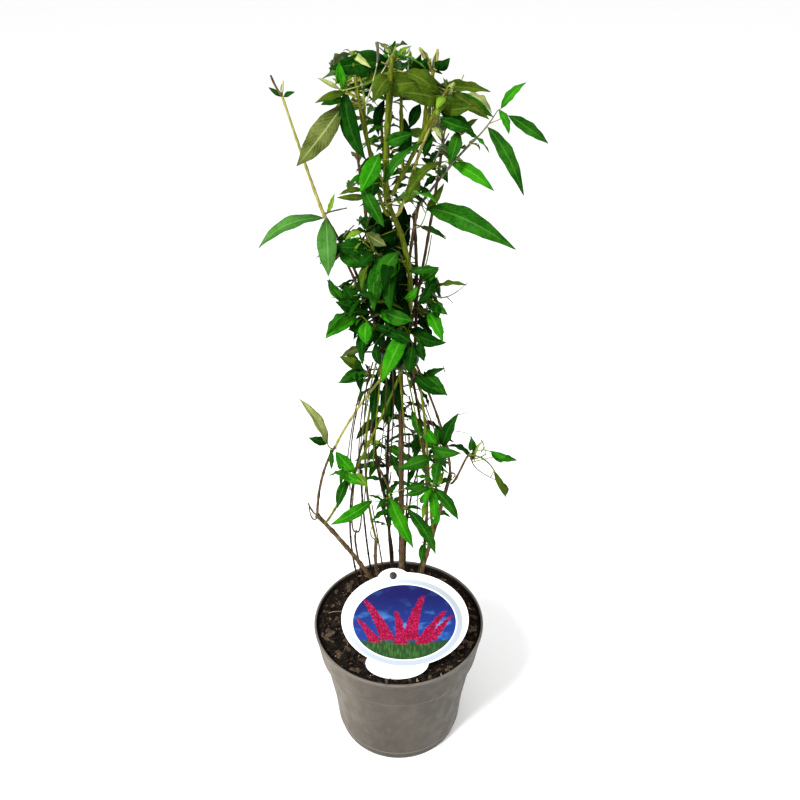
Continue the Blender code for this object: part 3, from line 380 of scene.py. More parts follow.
BARE_TWIGS: tuple[BareTwig, ...] = tuple(BareTwig(*row) for row in (
    ("left_thread", Foot(-45.5, 55.8), (-52, 20, 277.9), (-33.8, 2, 391.3), 1.13, 1.01, Wood.DARK),
    ("forked_thread",
     Foot(-40.3, 59.6), (-46.7, 24, 233.9), (-45.4, 20, 261.4), 1.13, 1.22, Wood.BROWN),
    ("forked_thread_left",
     Spot(-45.4, 20, 261.4), (-49.8, 18, 276.8), (-44.2, 8, 343.4), 0.94, 0.7, Wood.BROWN),
    ("forked_thread_right",
     Spot(-45.4, 20, 261.4), (-40.2, 18, 276.8), (-36.8, 6, 352.3), 0.94, 0.7, Wood.BROWN),
    ("middle_thread",
     Foot(-30.8, 65.1), (-35.9, 22, 259.7), (-38.5, 4, 363.6), 1.13, 1.01, Wood.DARK),
    ("short_thread",
     Foot(-17.2, 69.9), (-21.4, 20, 241.6), (-27.6, 8, 306.2), 0.94, 0.61, Wood.BROWN),
    ("back_thread", Foot(-9.5, 71.4), (-7.4, 34, 228), (-18.4, 14, 301.5), 1.17, 0.94, Wood.DARK),
    ("right_thread", Foot(8.1, 71.5), (10.1, 22, 281.7), (25.3, 4, 375.7), 1.13, 0.81, Wood.DARK),
    ("right_rise_thread",
     Foot(20.9, 68.9), (30.1, 14, 281.4), (22.8, -2, 403.2), 1.31, 1.01, Wood.BROWN),
    ("centre_thread", Foot(3.5, 71.9), (8.8, 14, 308.1), (10.3, 2, 396), 1.04, 0.81, Wood.DARK),
    ("hanging_thread",
     Spot(37.5, -8, 342.8), (35.3, -8, 372.1), (28.2, -6, 419.5), 0.75, 0.81, Wood.DARK),
    ("low_left_stub",
     Spot(-82.3, 0, 299.5), (-87.1, -2, 303.7), (-92.5, -2, 316.7), 1, 0.8, Wood.BROWN),
    ("low_left_spur",
     Spot(-82.3, 0, 299.5), (-88.4, -3, 296.6), (-91.7, -3, 312.3), 0.87, 0.6, Wood.BROWN),
    ("knot_spur",
     Spot(-23.3, 15, 253), (-29.6, 12, 262.5), (-27.1, 10, 279.3), 0.8, 0.4, Wood.BROWN),
    ("low_right_spur",
     Spot(49.8, -10, 360.2), (55.6, -12, 360.5), (53.8, -12, 355.6), 1, 0.6, Wood.BROWN),
    ("main_spur", Spot(-6.8, 8, 314.1), (-10.7, 2, 335.3), (-19.4, -2, 360.5), 1.5, 1, Wood.BROWN),
    ("main_spur_side",
     Spot(-10.7, 2, 335.3), (-8.6, 0, 344.3), (-7.5, -2, 355.6), 1, 0.6, Wood.BROWN),
    ("right_cross_thread",
     Spot(5.6, -6, 313.4), (15.6, -12, 325.8), (27.4, -14, 337.4), 0.5, 0.4, Wood.STRAW),
    ("left_cross_thread",
     Spot(-21.7, -6, 331.3), (-16.6, -10, 330.5), (-11.5, -12, 329.6), 0.5, 0.5, Wood.STRAW),
    ("sprig_thread",
     Spot(78.4, -24, 394.9), (80.9, -24, 401.8), (77.7, -24, 408.6), 0.58, 0.45, Wood.GREY),
    ("sprig_link", Spot(83, -26, 394), (75.9, -24, 388), (68.5, -22, 385.4), 0.58, 0.6, Wood.GREY),
    ("upper_thread",
     Spot(53.9, -16, 431.3), (59.2, -18, 433.7), (63.8, -18, 435.9), 0.43, 0.3, Wood.GREY),
    ("upper_thread_low",
     Spot(54.5, -16, 412.4), (60, -18, 413.7), (65.8, -18, 411.4), 0.43, 0.3, Wood.GREY),
    ("grey_twig",
     Spot(28.2, -12, 553.7), (41, -16, 550.8), (58.2, -20, 565.4), 0.87, 0.3, Wood.GREY),
    ("grey_twig_side",
     Spot(41, -16, 551.7), (44.6, -16, 548), (47.3, -16, 545.2), 0.58, 0.3, Wood.GREY),
    ("upper_right_leaf_tail",
     Spot(39.7, -26, 488.8), (41.6, -26, 482.7), (41.5, -28, 485.9), 0.43, 0.3, Wood.GREY),
    ("crown_left_stub",
     Spot(-87.9, -15, 715.2), (-91.9, -15, 721.7), (-95.3, -15, 730.2), 1.1, 0.7, Wood.BROWN),
    ("crown_left_bud",
     Spot(-87.6, -15, 718.1), (-86.6, -15, 721.7), (-86.2, -16, 726.1), 0.9, 0.5, Wood.PALE),
    ("left_pale_sprig",
     Spot(-25.4, -9, 706.8), (-19.8, -8, 721.9), (-15.8, -6, 737.2), 0.7, 0.5, Wood.PALE),
    ("left_pale_fork",
     Spot(-20.6, -8, 719.7), (-15.2, -6, 726.6), (-9.1, -4, 734.8), 0.5, 0.3, Wood.PALE),
    ("top_bud_stalk",
     Spot(-15.9, -4, 736.2), (-15.1, -3, 742.4), (-15.7, -2, 751.3), 0.9, 1.3, Wood.GREY),
    ("top_cut_left", Spot(26.9, 6, 728.3), (22.2, 5, 736.3), (16.3, 4, 746.4), 1, 1.1, Wood.STRAW),
    ("top_cut_right", Spot(27.7, 6, 729), (29.8, 6, 736.2), (30, 6, 745.4), 1, 1, Wood.STRAW),
    ("right_cut_end",
     Spot(34.4, -9, 711.2), (38.9, -9, 717), (42.5, -9, 723.5), 1.1, 1.2, Wood.STRAW),
    ("top_small_left",
     Spot(-47, -4, 732), (-48.4, -4, 734.8), (-48.3, -4, 739), 0.72, 0.45, Wood.GREY),
    ("top_small_right",
     Spot(-41.6, -4, 734.8), (-42.3, -4, 737.6), (-41.4, -4, 741.1), 0.72, 0.45, Wood.GREY),
    ("arching_stalk",
     Spot(1.5, -12, 657.8), (-7.9, -16, 667.5), (-17.4, -16, 664.3), 0.6, 0.5, Wood.GREEN),
    ("inner_stalk",
     Spot(1.5, -8, 655.9), (13.4, -12, 662.5), (34.1, -12, 660.1), 0.6, 0.5, Wood.GREEN),
    ("grey_inner_twig",
     Spot(27.1, -8, 660.7), (33.1, -8, 673.2), (39.9, -8, 686.3), 0.8, 0.5, Wood.GREY),
    ("grey_inner_fork",
     Spot(33.9, -8, 675.6), (36.1, -8, 681), (33.6, -8, 685.6), 0.87, 0.45, Wood.GREY),
    ("dark_low_twig",
     Spot(-53.7, -14, 592.5), (-44.9, -14, 604.6), (-36.3, -14, 614), 0.72, 0.6, Wood.GREY),
    ("tie_left_thread",
     Spot(-23.6, -14, 496.6), (-28.8, -18, 498.6), (-32.3, -20, 498.7), 0.9, 0.7, Wood.GREY),
    ("tie_fan_olive",
     Spot(-18.1, -20, 494.7), (-28.9, -20, 444.7), (-41.6, 2, 352.8), 0.8, 0.5, Wood.OLIVE),
    ("tie_fan_straw",
     Spot(-13.7, -20, 493.7), (-19.9, -20, 433.8), (-25.2, -4, 364.4), 0.8, 0.6, Wood.OLIVE),
    ("tie_fan_dark",
     Spot(-10.1, -20, 493.7), (-12.4, -20, 439.3), (-19.7, 6, 349.9), 0.7, 0.5, Wood.DARK),
    ("tie_fan_inner",
     Spot(-5.6, -20, 493.7), (-5, -20, 428.3), (-11.7, 6, 337.3), 0.8, 0.6, Wood.DARK),
    ("tie_fan_green",
     Spot(-0.3, -20, 493.7), (3.3, -20, 450.1), (7.3, -8, 393.3), 0.9, 0.6, Wood.OLIVE),
    ("tie_fan_right",
     Spot(3.3, -20, 494.7), (13.5, -20, 447.9), (26.4, 0, 361.5), 0.8, 0.6, Wood.OLIVE),
    ("tie_fan_outer",
     Spot(6.8, -20, 495.7), (20.7, -20, 456.4), (47.7, -8, 369.7), 0.7, 0.6, Wood.BROWN),
    ("tie_fan_brown",
     Spot(-25.4, -20, 485.6), (-40.2, -20, 437.1), (-52.9, 4, 348.8), 0.7, 0.5, Wood.BROWN),
    ("tie_fan_left",
     Spot(-22.6, -20, 489.6), (-34.9, -20, 428.3), (-40.2, 8, 340.9), 0.7, 0.5, Wood.DARK),
    ("thread_one",
     Spot(-32.6, 4, 444.5), (-44.7, 8, 396.7), (-50.3, 14, 321.1), 0.75, 0.6, Wood.DARK),
    ("thread_two",
     Spot(-27.8, 4, 448.9), (-33.8, 8, 399.1), (-32.9, 14, 310.7), 0.75, 0.6, Wood.DARK),
    ("thread_three",
     Spot(-22.3, 4, 440.1), (-28.1, 8, 389.7), (-36.3, 14, 300.2), 0.75, 0.6, Wood.BROWN),
    ("thread_four", Spot(10, 2, 441.3), (17.4, 8, 380.1), (19.5, 14, 281.4), 0.75, 0.6, Wood.DARK),
    ("thread_five",
     Spot(14.7, 0, 446.9), (32.8, 2, 391.3), (39.3, 6, 332.3), 0.7, 0.55, Wood.BROWN),
    ("dark_bud_twig",
     Spot(12.2, -10, 613.5), (23.8, -14, 610.6), (39.4, -18, 603.5), 0.8, 0.5, Wood.DARK),
    ("dark_bud",
     Spot(23.8, -14, 610.6), (27.1, -14, 608.9), (30.4, -15, 607.6), 1.5, 0.8, Wood.DARK),
    ("crown_stem_back", Spot(2.3, 0, 686.1), (2.3, 0, 699), (2.3, 0, 712.5), 1.4, 1.2, Wood.OLIVE),
    ("crown_stem_right",
     Spot(20, -2, 686.5), (20.9, -2, 696.4), (21.7, -2, 706.9), 1.6, 1.4, Wood.OLIVE),
    ("crown_stem_far",
     Spot(25.9, -4, 687), (29.5, -6, 695.8), (33.1, -8, 705.1), 1.4, 1.2, Wood.STRAW),
    ("brown_rise",
     Spot(-33.9, -10, 553.8), (-38.6, -12, 568.5), (-44, -14, 581.9), 1.3, 1.0, Wood.BROWN),
    ("dark_left_twig",
     Spot(-61.5, -13, 622.6), (-53.2, -12, 625.2), (-41.7, -12, 627.7), 0.8, 0.6, Wood.GREY),
    ("right_dark_stem",
     Spot(17.2, -2, 628.7), (12.5, 2, 599.9), (8.5, 6, 564.8), 1.5, 1.4, Wood.BROWN),
    ("sprig_arc",
     Spot(67.4, -26, 392.9), (82.3, -27, 387.8), (93.6, -28, 372.1), 0.8, 0.7, Wood.OLIVE),
    ("sprig_right_stalk",
     Spot(68.1, -24, 392.6), (78.2, -25, 397.9), (87.6, -26, 396.3), 0.6, 0.5, Wood.GREEN),
    ("sprig_pale",
     Spot(77.8, -24, 407.5), (80.9, -24, 401.8), (83.3, -24, 392.6), 0.7, 0.4, Wood.PALE),
    ("top_pale_stalk", Spot(7.6, 2, 729.6), (8.3, 2, 738.2), (9.1, 2, 745.2), 0.6, 0.4, Wood.PALE),
    ("top_pale_stalk_right",
     Spot(10.7, 2, 732.5), (10.6, 2, 738.2), (9.8, 2, 743.8), 0.5, 0.4, Wood.PALE),
    ("crown_cut_centre",
     Spot(-8.6, -14, 636.5), (-9.5, -14, 674.7), (-4.5, -8, 742.4), 2.4, 1.9, Wood.OLIVE),
    ("crown_cut_left",
     Spot(-9.8, -12, 642.5), (-24.3, -12, 681.9), (-34.3, -8, 745.9), 1.9, 1.4, Wood.OLIVE),
    ("crown_cut_right",
     Spot(-4.9, -16, 639.6), (20, -18, 688.6), (37.5, -18, 721.5), 1.9, 1.3, Wood.OLIVE),
    ("crown_pair_stem",
     Spot(21.6, -14, 690.7), (24.4, -12, 708.8), (26.5, -6, 731.6), 1.5, 1.3, Wood.OLIVE),
    ("crown_mid_stem",
     Spot(3.9, -6, 655.3), (3.1, -4, 685.4), (2.3, -2, 712.8), 1.4, 1.2, Wood.OLIVE),
))

# The open sky round the bush and inside it: left, top, right and low in the picture.
SKY_GAPS: tuple[tuple[float, float, float, float], ...] = (
    (250, 30, 328, 74), (250, 30, 540, 40), (250, 30, 264, 228), (250, 30, 374, 50),
    (286, 30, 318, 86), (298, 30, 316, 106), (408, 30, 540, 48), (448, 30, 540, 80),
    (468, 30, 508, 90), (518, 88, 540, 116), (250, 94, 278, 218), (508, 98, 540, 114),
    (462, 110, 482, 122), (250, 112, 288, 214), (302, 114, 316, 138), (340, 130, 352, 168),
    (512, 134, 528, 160), (250, 138, 298, 164), (526, 140, 540, 556), (468, 150, 490, 170),
    (318, 158, 350, 184), (250, 168, 308, 212), (480, 168, 502, 182), (496, 182, 516, 226),
    (440, 186, 470, 202), (250, 188, 314, 212), (468, 192, 488, 208), (480, 194, 540, 216),
    (510, 194, 540, 242), (340, 196, 362, 206), (338, 212, 350, 226), (418, 212, 432, 224),
    (298, 226, 312, 398), (282, 228, 312, 398), (446, 230, 468, 282), (250, 238, 298, 556),
    (416, 240, 488, 266), (438, 240, 464, 286), (468, 250, 540, 436), (486, 250, 540, 450),
    (332, 264, 346, 282), (250, 266, 324, 398), (454, 290, 540, 412), (250, 298, 336, 318),
    (448, 304, 540, 412), (334, 332, 352, 346), (324, 340, 338, 420), (418, 344, 438, 372),
    (250, 360, 354, 374), (434, 370, 540, 384), (320, 384, 350, 416), (330, 384, 344, 432),
    (438, 396, 448, 424), (250, 408, 306, 556), (250, 444, 320, 480), (508, 462, 540, 556),
    (454, 472, 494, 502), (460, 496, 540, 556), (326, 500, 336, 518), (410, 520, 422, 542),
    (336, 522, 346, 538), (444, 522, 540, 556), (250, 526, 324, 556), (250, 542, 336, 556),
    (416, 223, 448, 240), (424, 206, 434, 262),
)


def free_leaves(*rows: tuple[Place | float | Tone, ...]) -> tuple[FreeLeaf, ...]:
    """Listed leaves, from their rows."""
    return tuple(FreeLeaf(*row) for row in rows)


# Rows with the deep tone are leaves inside the bush, given painted shade.
FREE_LEAVES: dict[str, tuple[FreeLeaf, ...]] = {
    "crown": free_leaves(
        ((-4.6, 8, 735.9), 183, -9, 46.1, 17.2, -61, Tone.DARK),
        ((-45.3, -12, 723.3), 45, 80, 16.2, 5.8, 73, Tone.BRIGHT),
        ((-30.3, -8, 726.2), 16, 58, 13.8, 7, 104, Tone.MID),
        ((-40.2, -10, 722.2), 180, 74, 9.6, 4.4, -54, Tone.FRESH),
        ((-39.4, -10, 723), 0, 59, 9.2, 3.5, 118, Tone.FRESH),
        ((-20, -2, 718.7), 2, 6, 49.5, 17.2, 90, Tone.OLIVE),
        ((4.5, -12, 731.8), 356, -30, 33.4, 13.8, 45, Tone.OLIVE),
        ((18.2, -12, 713.9), 357, -9, 39.5, 10.1, 104, Tone.OLIVE),
        ((36.1, -20, 715.4), 208, -43, 11.6, 6.4, -40, Tone.FRESH),
        ((35.6, -14, 715), 0, 72, 6.8, 4.4, 114, Tone.FRESH),
        ((37.1, -14, 715), 0, 49, 6.7, 3.5, 111, Tone.PALE),
        ((44.1, -10, 717.2), 348, -30, 33.9, 8.9, 97, Tone.MID),
        ((29.8, 2, 731), 348, 42, 13.2, 7.9, 120, Tone.DARK),
        ((10.7, 2, 729.6), 343, 62, 14.8, 7.3, 120, Tone.DARK),
        ((16.7, 0, 734.2), 0, 43, 8.2, 6.1, 113, Tone.MID),
        ((32.2, -16, 698.6), 346, -17, 25.6, 9.5, 90, Tone.MID),
        ((-33.9, -8, 708.8), 193, -24, 19.9, 8, -46, Tone.OLIVE),
        ((-35.3, -10, 707), 213, -44, 15.3, 7.1, -31, Tone.PALE),
        ((-41, -4, 710.3), 192, -7, 18.9, 8, -48, Tone.DARK),
        ((-36.7, -8, 716.8), 180, 37, 16.7, 5, -40, Tone.FRESH),
        ((-31.5, -6, 713.6), 180, 60, 17.5, 5, -42, Tone.MID),
        ((-9.8, -4, 734.8), 12, 50, 14.4, 4.4, 106, Tone.PALE),
        ((-40.1, -14, 719.3), 338, -73, 54.1, 14, 71, Tone.DARK),
        ((-42, -14, 708.5), 195, -48, 58.4, 18.1, -63, Tone.FELT),
        ((29.1, -4, 720.5), 198, -42, 17.3, 8.2, -49, Tone.OLIVE),
        ((-10.2, -14, 680.1), 350, 21, 23.7, 10.4, 96, Tone.MID),
        ((0.7, -8, 671.7), 347, 60, 17.5, 8.2, 124, Tone.DARK),
        ((25.2, 0, 686.9), 233, -70, 21.7, 8.5, -15, Tone.DARK),
        ((17.3, 8, 705), 205, -62, 19.9, 9.3, -42, Tone.DARK),
        ((4.7, 14, 693.1), 338, -79, 26.9, 8.6, 87, Tone.PAINTED_SHADE),
        ((-11.2, 16, 706.5), 201, -79, 28, 8.5, -48, Tone.PAINTED_SHADE),
        ((17.5, -12, 650.6), 189, -57, 22.5, 10.6, -62, Tone.OLIVE),
        ((30.8, 2, 654.8), 189, 39, 16.1, 7.5, -55, Tone.DARK),
        ((-19.2, -10, 659.6), 216, -82, 25.5, 11.4, -45, Tone.DARK),
        ((-14.7, -24, 674.1), 201, -59, 32.7, 14.2, -57, Tone.BRIGHT),
        ((-28.9, -16, 643.7), 192, -6, 18.8, 6.3, -33, Tone.OLIVE),
        ((30.6, -4, 651.6), 202, -39, 13.6, 6.5, -32, Tone.DARK),
        ((-4.5, -2, 741.6), 180, 65, 6.9, 2.5, -61, Tone.FRESH),
        ((-3.8, -2, 742.3), 0, 70, 6.7, 2.5, 113, Tone.PALE),
        ((-1.5, -2, 740.9), 0, 59, 7.3, 2.5, 111, Tone.FRESH),
        ((0, -2, 741.6), 180, 58, 5.7, 2.5, -61, Tone.BRIGHT),
        ((3, -2, 740.9), 0, 62, 6.3, 2.5, 111, Tone.PALE),
        ((4.5, -2, 740.9), 180, 73, 5.1, 2.5, -63, Tone.FRESH),
        ((7.5, -2, 740.2), 0, 66, 5.4, 2.5, 111, Tone.FRESH),
        ((-6.8, -2, 740.2), 180, 32, 5.3, 2.5, -58, Tone.BRIGHT),
        ((1.5, -2, 739.5), 0, 19, 6.4, 3.3, 107, Tone.DARK),
        ((-3, -2, 740.2), 180, -15, 5.5, 2.5, -57, Tone.FRESH),
        ((6.8, -2, 738.8), 180, 19, 6.4, 3.3, -57, Tone.MID),
        ((-5.3, -2, 743), 180, 38, 5.7, 2.5, -58, Tone.PALE),
        ((5.3, -2, 742.3), 0, 56, 6.7, 1.7, 110, Tone.PALE),
    ),
    "upper": free_leaves(
        ((-28.7, -20, 648), 335, -58, 36.3, 11.5, 72, Tone.MID),
        ((-0.1, -28, 596), 199, -55, 32.3, 14.3, -51, Tone.MID),
        ((-12.6, -24, 588.4), 217, -73, 46.2, 13.2, -32, Tone.MID),
        ((-48.1, -18, 599.2), 344, -40, 29, 16.3, 76, Tone.MID),
        ((-26.5, -16, 607.9), 353, -32, 19.6, 10.9, -121, Tone.FELT),
        ((-29.6, -20, 610.2), 196, -20, 15.4, 5.7, -37, Tone.FRESH),
        ((-29.8, -20, 603.3), 211, -45, 16.4, 5.7, -26, Tone.FRESH),
        ((-34.8, -20, 598.2), 309, -56, 14, 5.7, 64, Tone.BRIGHT),
        ((-38.4, -12, 603.9), 197, -8, 13.8, 7.7, -39, Tone.DARK),
        ((0.7, 14, 621.2), 311, -78, 39.5, 10.4, 49, Tone.PAINTED_SHADE),
        ((-11.3, 16, 618.8), 318, -78, 41.7, 12.2, 55, Tone.PAINTED_SHADE),
        ((-1.9, 6, 606.4), 221, -75, 36.6, 11.3, -37, Tone.PAINTED_SHADE),
        ((-20.3, 4, 616.6), 243, -80, 26.2, 11.2, -17, Tone.PAINTED_SHADE),
        ((3.2, 8, 573.3), 229, -78, 38, 12.5, -29, Tone.PAINTED_SHADE),
        ((-7.1, -8, 570.5), 301, -84, 41.6, 11.6, 43, Tone.DARK),
        ((-0.2, 0, 556.1), 204, -77, 43.7, 12.6, -52, Tone.PAINTED_SHADE),
        ((-12.6, 4, 548.7), 225, -83, 43.5, 10.9, -34, Tone.PAINTED_SHADE),
        ((5, -4, 544.6), 258, -83, 35.3, 10.8, -1, Tone.PAINTED_SHADE),
        ((-27.5, -6, 578.8), 237, -78, 33.3, 10.6, -20, Tone.DARK),
        ((-58.8, -16, 567.4), 9, -60, 25.6, 7.9, 111, Tone.MID),
        ((-47.4, -14, 556.4), 352, -44, 21.4, 13.3, 79, Tone.DARK),
        ((-52, -16, 546.1), 0, -20, 30.1, 10.1, 86, Tone.DARK),
        ((9.1, -20, 576.2), 355, 6, 25.3, 8.2, 104, Tone.MID),
        ((17, -18, 544.2), 15, 57, 28.8, 8.5, 89, Tone.DARK),
        ((4.9, -26, 553.4), 350, 43, 16.1, 7.8, 108, Tone.BRIGHT),
        ((11.2, -18, 519.4), 349, -16, 32.5, 12.7, 77, Tone.DARK),
        ((-11.2, -30, 543.1), 346, -11, 24.9, 13.2, 78, Tone.MID),
        ((-26.7, -30, 534.7), 260, -73, 20.8, 12.3, 0, Tone.BRIGHT),
        ((-19.4, -22, 526.1), 351, -21, 26.5, 10.2, 82, Tone.DARK),
        ((-23, -22, 516.5), 186, 20, 20.2, 8.7, -41, Tone.DARK),
        ((32.6, -16, 545.2), 295, -73, 14.9, 8.6, 51, Tone.DARK),
        ((-5.4, -24, 523.3), 341, -25, 20.3, 11.7, 73, Tone.DARK),
        ((-22.9, -22, 522.3), 342, -51, 20.1, 10.9, 73, Tone.PAINTED_SHADE),
        ((4.9, 16, 620.5), 318, -80, 34.6, 9.5, 54, Tone.PAINTED_SHADE),
        ((10, 14, 614.2), 224, -82, 42.1, 9.6, -36, Tone.PAINTED_SHADE),
        ((2.4, 12, 593.7), 336, -82, 34.5, 9.7, 71, Tone.PAINTED_SHADE),
        ((-15.4, -2, 600.4), 309, -77, 22.2, 10.3, 43, Tone.PAINTED_SHADE),
    ),
    "middle": free_leaves(
        ((-27.9, -16, 501.6), 190, -14, 24.2, 7.6, 98, Tone.OLIVE),
        ((-42.3, -18, 492.6), 350, -49, 17.5, 7.3, 91, Tone.DARK),
        ((-26.4, -20, 479.4), 192, -14, 29.3, 8.9, -35, Tone.MID),
        ((-19.8, -2, 467.4), 200, -83, 49.5, 9.6, -58, Tone.DARK),
        ((-10.6, -4, 462.1), 205, -85, 49.6, 10.5, -53, Tone.DARK),
        ((-4.1, 2, 475.7), 224, -87, 51.1, 8.6, -36, Tone.PAINTED_SHADE),
        ((-0.4, 4, 464), 294, -87, 42.9, 7.7, 34, Tone.PAINTED_SHADE),
        ((13.2, -20, 477.4), 349, -32, 37.1, 11.2, 74, Tone.DARK),
        ((12.8, -8, 431.9), 333, -73, 30.3, 8.1, 76, Tone.MID),
        ((12.9, -26, 509.7), 240, -75, 26.6, 12.4, -18, Tone.DARK),
        ((5, -24, 510.6), 217, -75, 25.7, 10.7, -40, Tone.PAINTED_SHADE),
        ((19, -24, 513.6), 313, -75, 20.4, 8.2, 54, Tone.DARK),
        ((-19.6, -24, 509.7), 310, -75, 20.4, 8.2, 49, Tone.DARK),
    ),
    "lower": free_leaves(
        ((-59.5, -22, 393.6), 353, -55, 31, 13.3, 80, Tone.BRIGHT),
        ((-58.4, -22, 371.3), 352, -29, 31.1, 10.7, 78, Tone.BRIGHT),
        ((25, -18, 419.3), 341, -55, 21.5, 11, 78, Tone.BRIGHT),
        ((31.1, -18, 394.3), 348, -3, 29, 11.2, 75, Tone.MID),
        ((34, -16, 351.2), 349, 55, 18.2, 9.4, 92, Tone.FRESH),
        ((22.5, -16, 327.7), 347, 69, 24.3, 8.8, 109, Tone.BRIGHT),
        ((33.2, -12, 298.7), 345, 63, 17.8, 7.9, 104, Tone.BRIGHT),
        ((5.5, -14, 343.6), 355, 20, 26.2, 6.8, 85, Tone.MID),
        ((91.5, -28, 375.7), 351, -66, 32.4, 6.5, 88, Tone.OLIVE),
        ((67.9, -24, 396.1), 0, 86, 15.9, 5.5, 101, Tone.MID),
        ((86.6, -26, 397.5), 355, -21, 24.9, 6.3, 83, Tone.BRIGHT),
        ((87.7, -26, 395.2), 350, -43, 15, 4.2, 87, Tone.MID),
    ),
}


class Recipe:
    """Writes the node tree of one Principled material, a step at a time."""

    def __init__(self, name: str, preview: Colour, roughness: float) -> None:
        """Starts a material.

        Args:
            name: The material's name.
            preview: Its plain colour in the viewport.
            roughness: Its roughness where nothing else drives it.
        """
        self.material = bpy.data.materials.new(name)
        self.material.use_nodes = True
        self.material.diffuse_color = (*preview, 1.0)
        self.tree = self.material.node_tree
        self.shader = self.tree.nodes["Principled BSDF"]
        self.shader.inputs["Roughness"].default_value = roughness

    def step(
        self,
        kind: str,
        inputs: dict[int | str, object] | None = None,
        **settings: object,
    ) -> bpy.types.Node:
        """Adds one node.

        Args:
            kind: The node's type, without the leading "ShaderNode".
            inputs: A value or an output for each named or numbered socket.
            **settings: The node's own settings.

        Returns:
            The new node.
        """
        node = self.tree.nodes.new(f"ShaderNode{kind}")
        for name, value in settings.items():
            setattr(node, name, value)
        for key, value in (inputs or {}).items():
            self.feed(node.inputs[key], value)
        return node

    def feed(self, socket: bpy.types.NodeSocket, value: object) -> None:
        """Links an output to a socket, or sets the socket's own value."""
        if isinstance(value, bpy.types.NodeSocket):
            self.tree.links.new(value, socket)
        else:
            socket.default_value = value

    def object_place(self, scale: Place = (1.0, 1.0, 1.0)) -> bpy.types.NodeSocket:
        """The place on the object, stretched by a scale."""
        place = self.step("TexCoord").outputs["Object"]
        return self.step("Mapping", {"Vector": place, "Scale": scale}).outputs["Vector"]

    def sheet_place(self) -> tuple[bpy.types.NodeSocket, bpy.types.NodeSocket]:
        """The two coordinates of the surface's own map."""
        split = self.step("SeparateXYZ", {"Vector": self.step("UVMap").outputs["UV"]})
        return split.outputs["X"], split.outputs["Y"]

    def grain(
        self, size: float, detail: float = 3.0, stretch: Place = (1.0, 1.0, 1.0)
    ) -> bpy.types.NodeSocket:
        """Noise of about 0 to 1, with so many metres to a patch."""
        place = self.object_place(stretch)
        inputs = {"Vector": place, "Scale": 1.0 / size, "Detail": detail}
        return self.step("TexNoise", inputs).outputs["Fac"]

    def spots(
        self, size: float, core: float, edge: float, strength: float
    ) -> bpy.types.NodeSocket:
        """Spots, one to a cell of about a size in metres, that fade from their core outwards."""
        inputs = {"Vector": self.object_place(), "Scale": 1.0 / size}
        cells = self.step("TexVoronoi", inputs).outputs["Distance"]
        return self.span(cells, core, edge, strength, 0.0)

    def axes(self) -> list[bpy.types.NodeSocket]:
        """The three coordinates of the place on the object."""
        place = self.step("TexCoord").outputs["Object"]
        return list(self.step("SeparateXYZ", {"Vector": place}).outputs)

    def maths(self, operation: str, *values: object) -> bpy.types.NodeSocket:
        """One sum of one, two or three values."""
        return self.step("Math", dict(enumerate(values)), operation=operation).outputs["Value"]

    def off(self, value: object, middle: object) -> bpy.types.NodeSocket:
        """How far a value is from a middle, either way."""
        return self.maths("ABSOLUTE", self.maths("SUBTRACT", value, middle))

    def span(
        self, value: object, low: float, high: float, to_low: float = 0.0, to_high: float = 1.0
    ) -> bpy.types.NodeSocket:
        """A value that runs smoothly from one level to another between two limits."""
        inputs = {0: value, 1: low, 2: high, 3: to_low, 4: to_high}
        return self.step("MapRange", inputs, interpolation_type="SMOOTHSTEP").outputs[0]

    def mix(self, share: object, first: object, second: object) -> bpy.types.NodeSocket:
        """A colour between two, each a plain colour or an output."""
        colours = [
            (*value, 1.0) if isinstance(value, tuple) else value for value in (first, second)
        ]
        inputs = {0: share, 6: colours[0], 7: colours[1]}
        return self.step("Mix", inputs, data_type="RGBA").outputs[2]

    def relief(
        self, height: object, depth: float, strength: float = 1.0, below: object = None
    ) -> bpy.types.NodeSocket:
        """A bumped normal, with so many metres from low to high."""
        inputs = {"Height": height, "Distance": depth, "Strength": strength}
        if below is not None:
            inputs["Normal"] = below
        return self.step("Bump", inputs).outputs["Normal"]

    def finish(
        self, colour: object, normal: object = None, roughness: object = None, **fixed: float
    ) -> bpy.types.Material:
        """Feeds the shader.

        Args:
            colour: The base colour.
            normal: The bumped normal.
            roughness: A roughness that varies over the surface.
            **fixed: Values for other sockets, with _ for each space of their names.

        Returns:
            The finished material.
        """
        if isinstance(colour, tuple):
            colour = (*colour, 1.0)
        self.feed(self.shader.inputs["Base Color"], colour)
        if normal is not None:
            self.feed(self.shader.inputs["Normal"], normal)
        if roughness is not None:
            self.feed(self.shader.inputs["Roughness"], roughness)
        for name, value in fixed.items():
            self.shader.inputs[name.replace("_", " ")].default_value = value
        return self.material


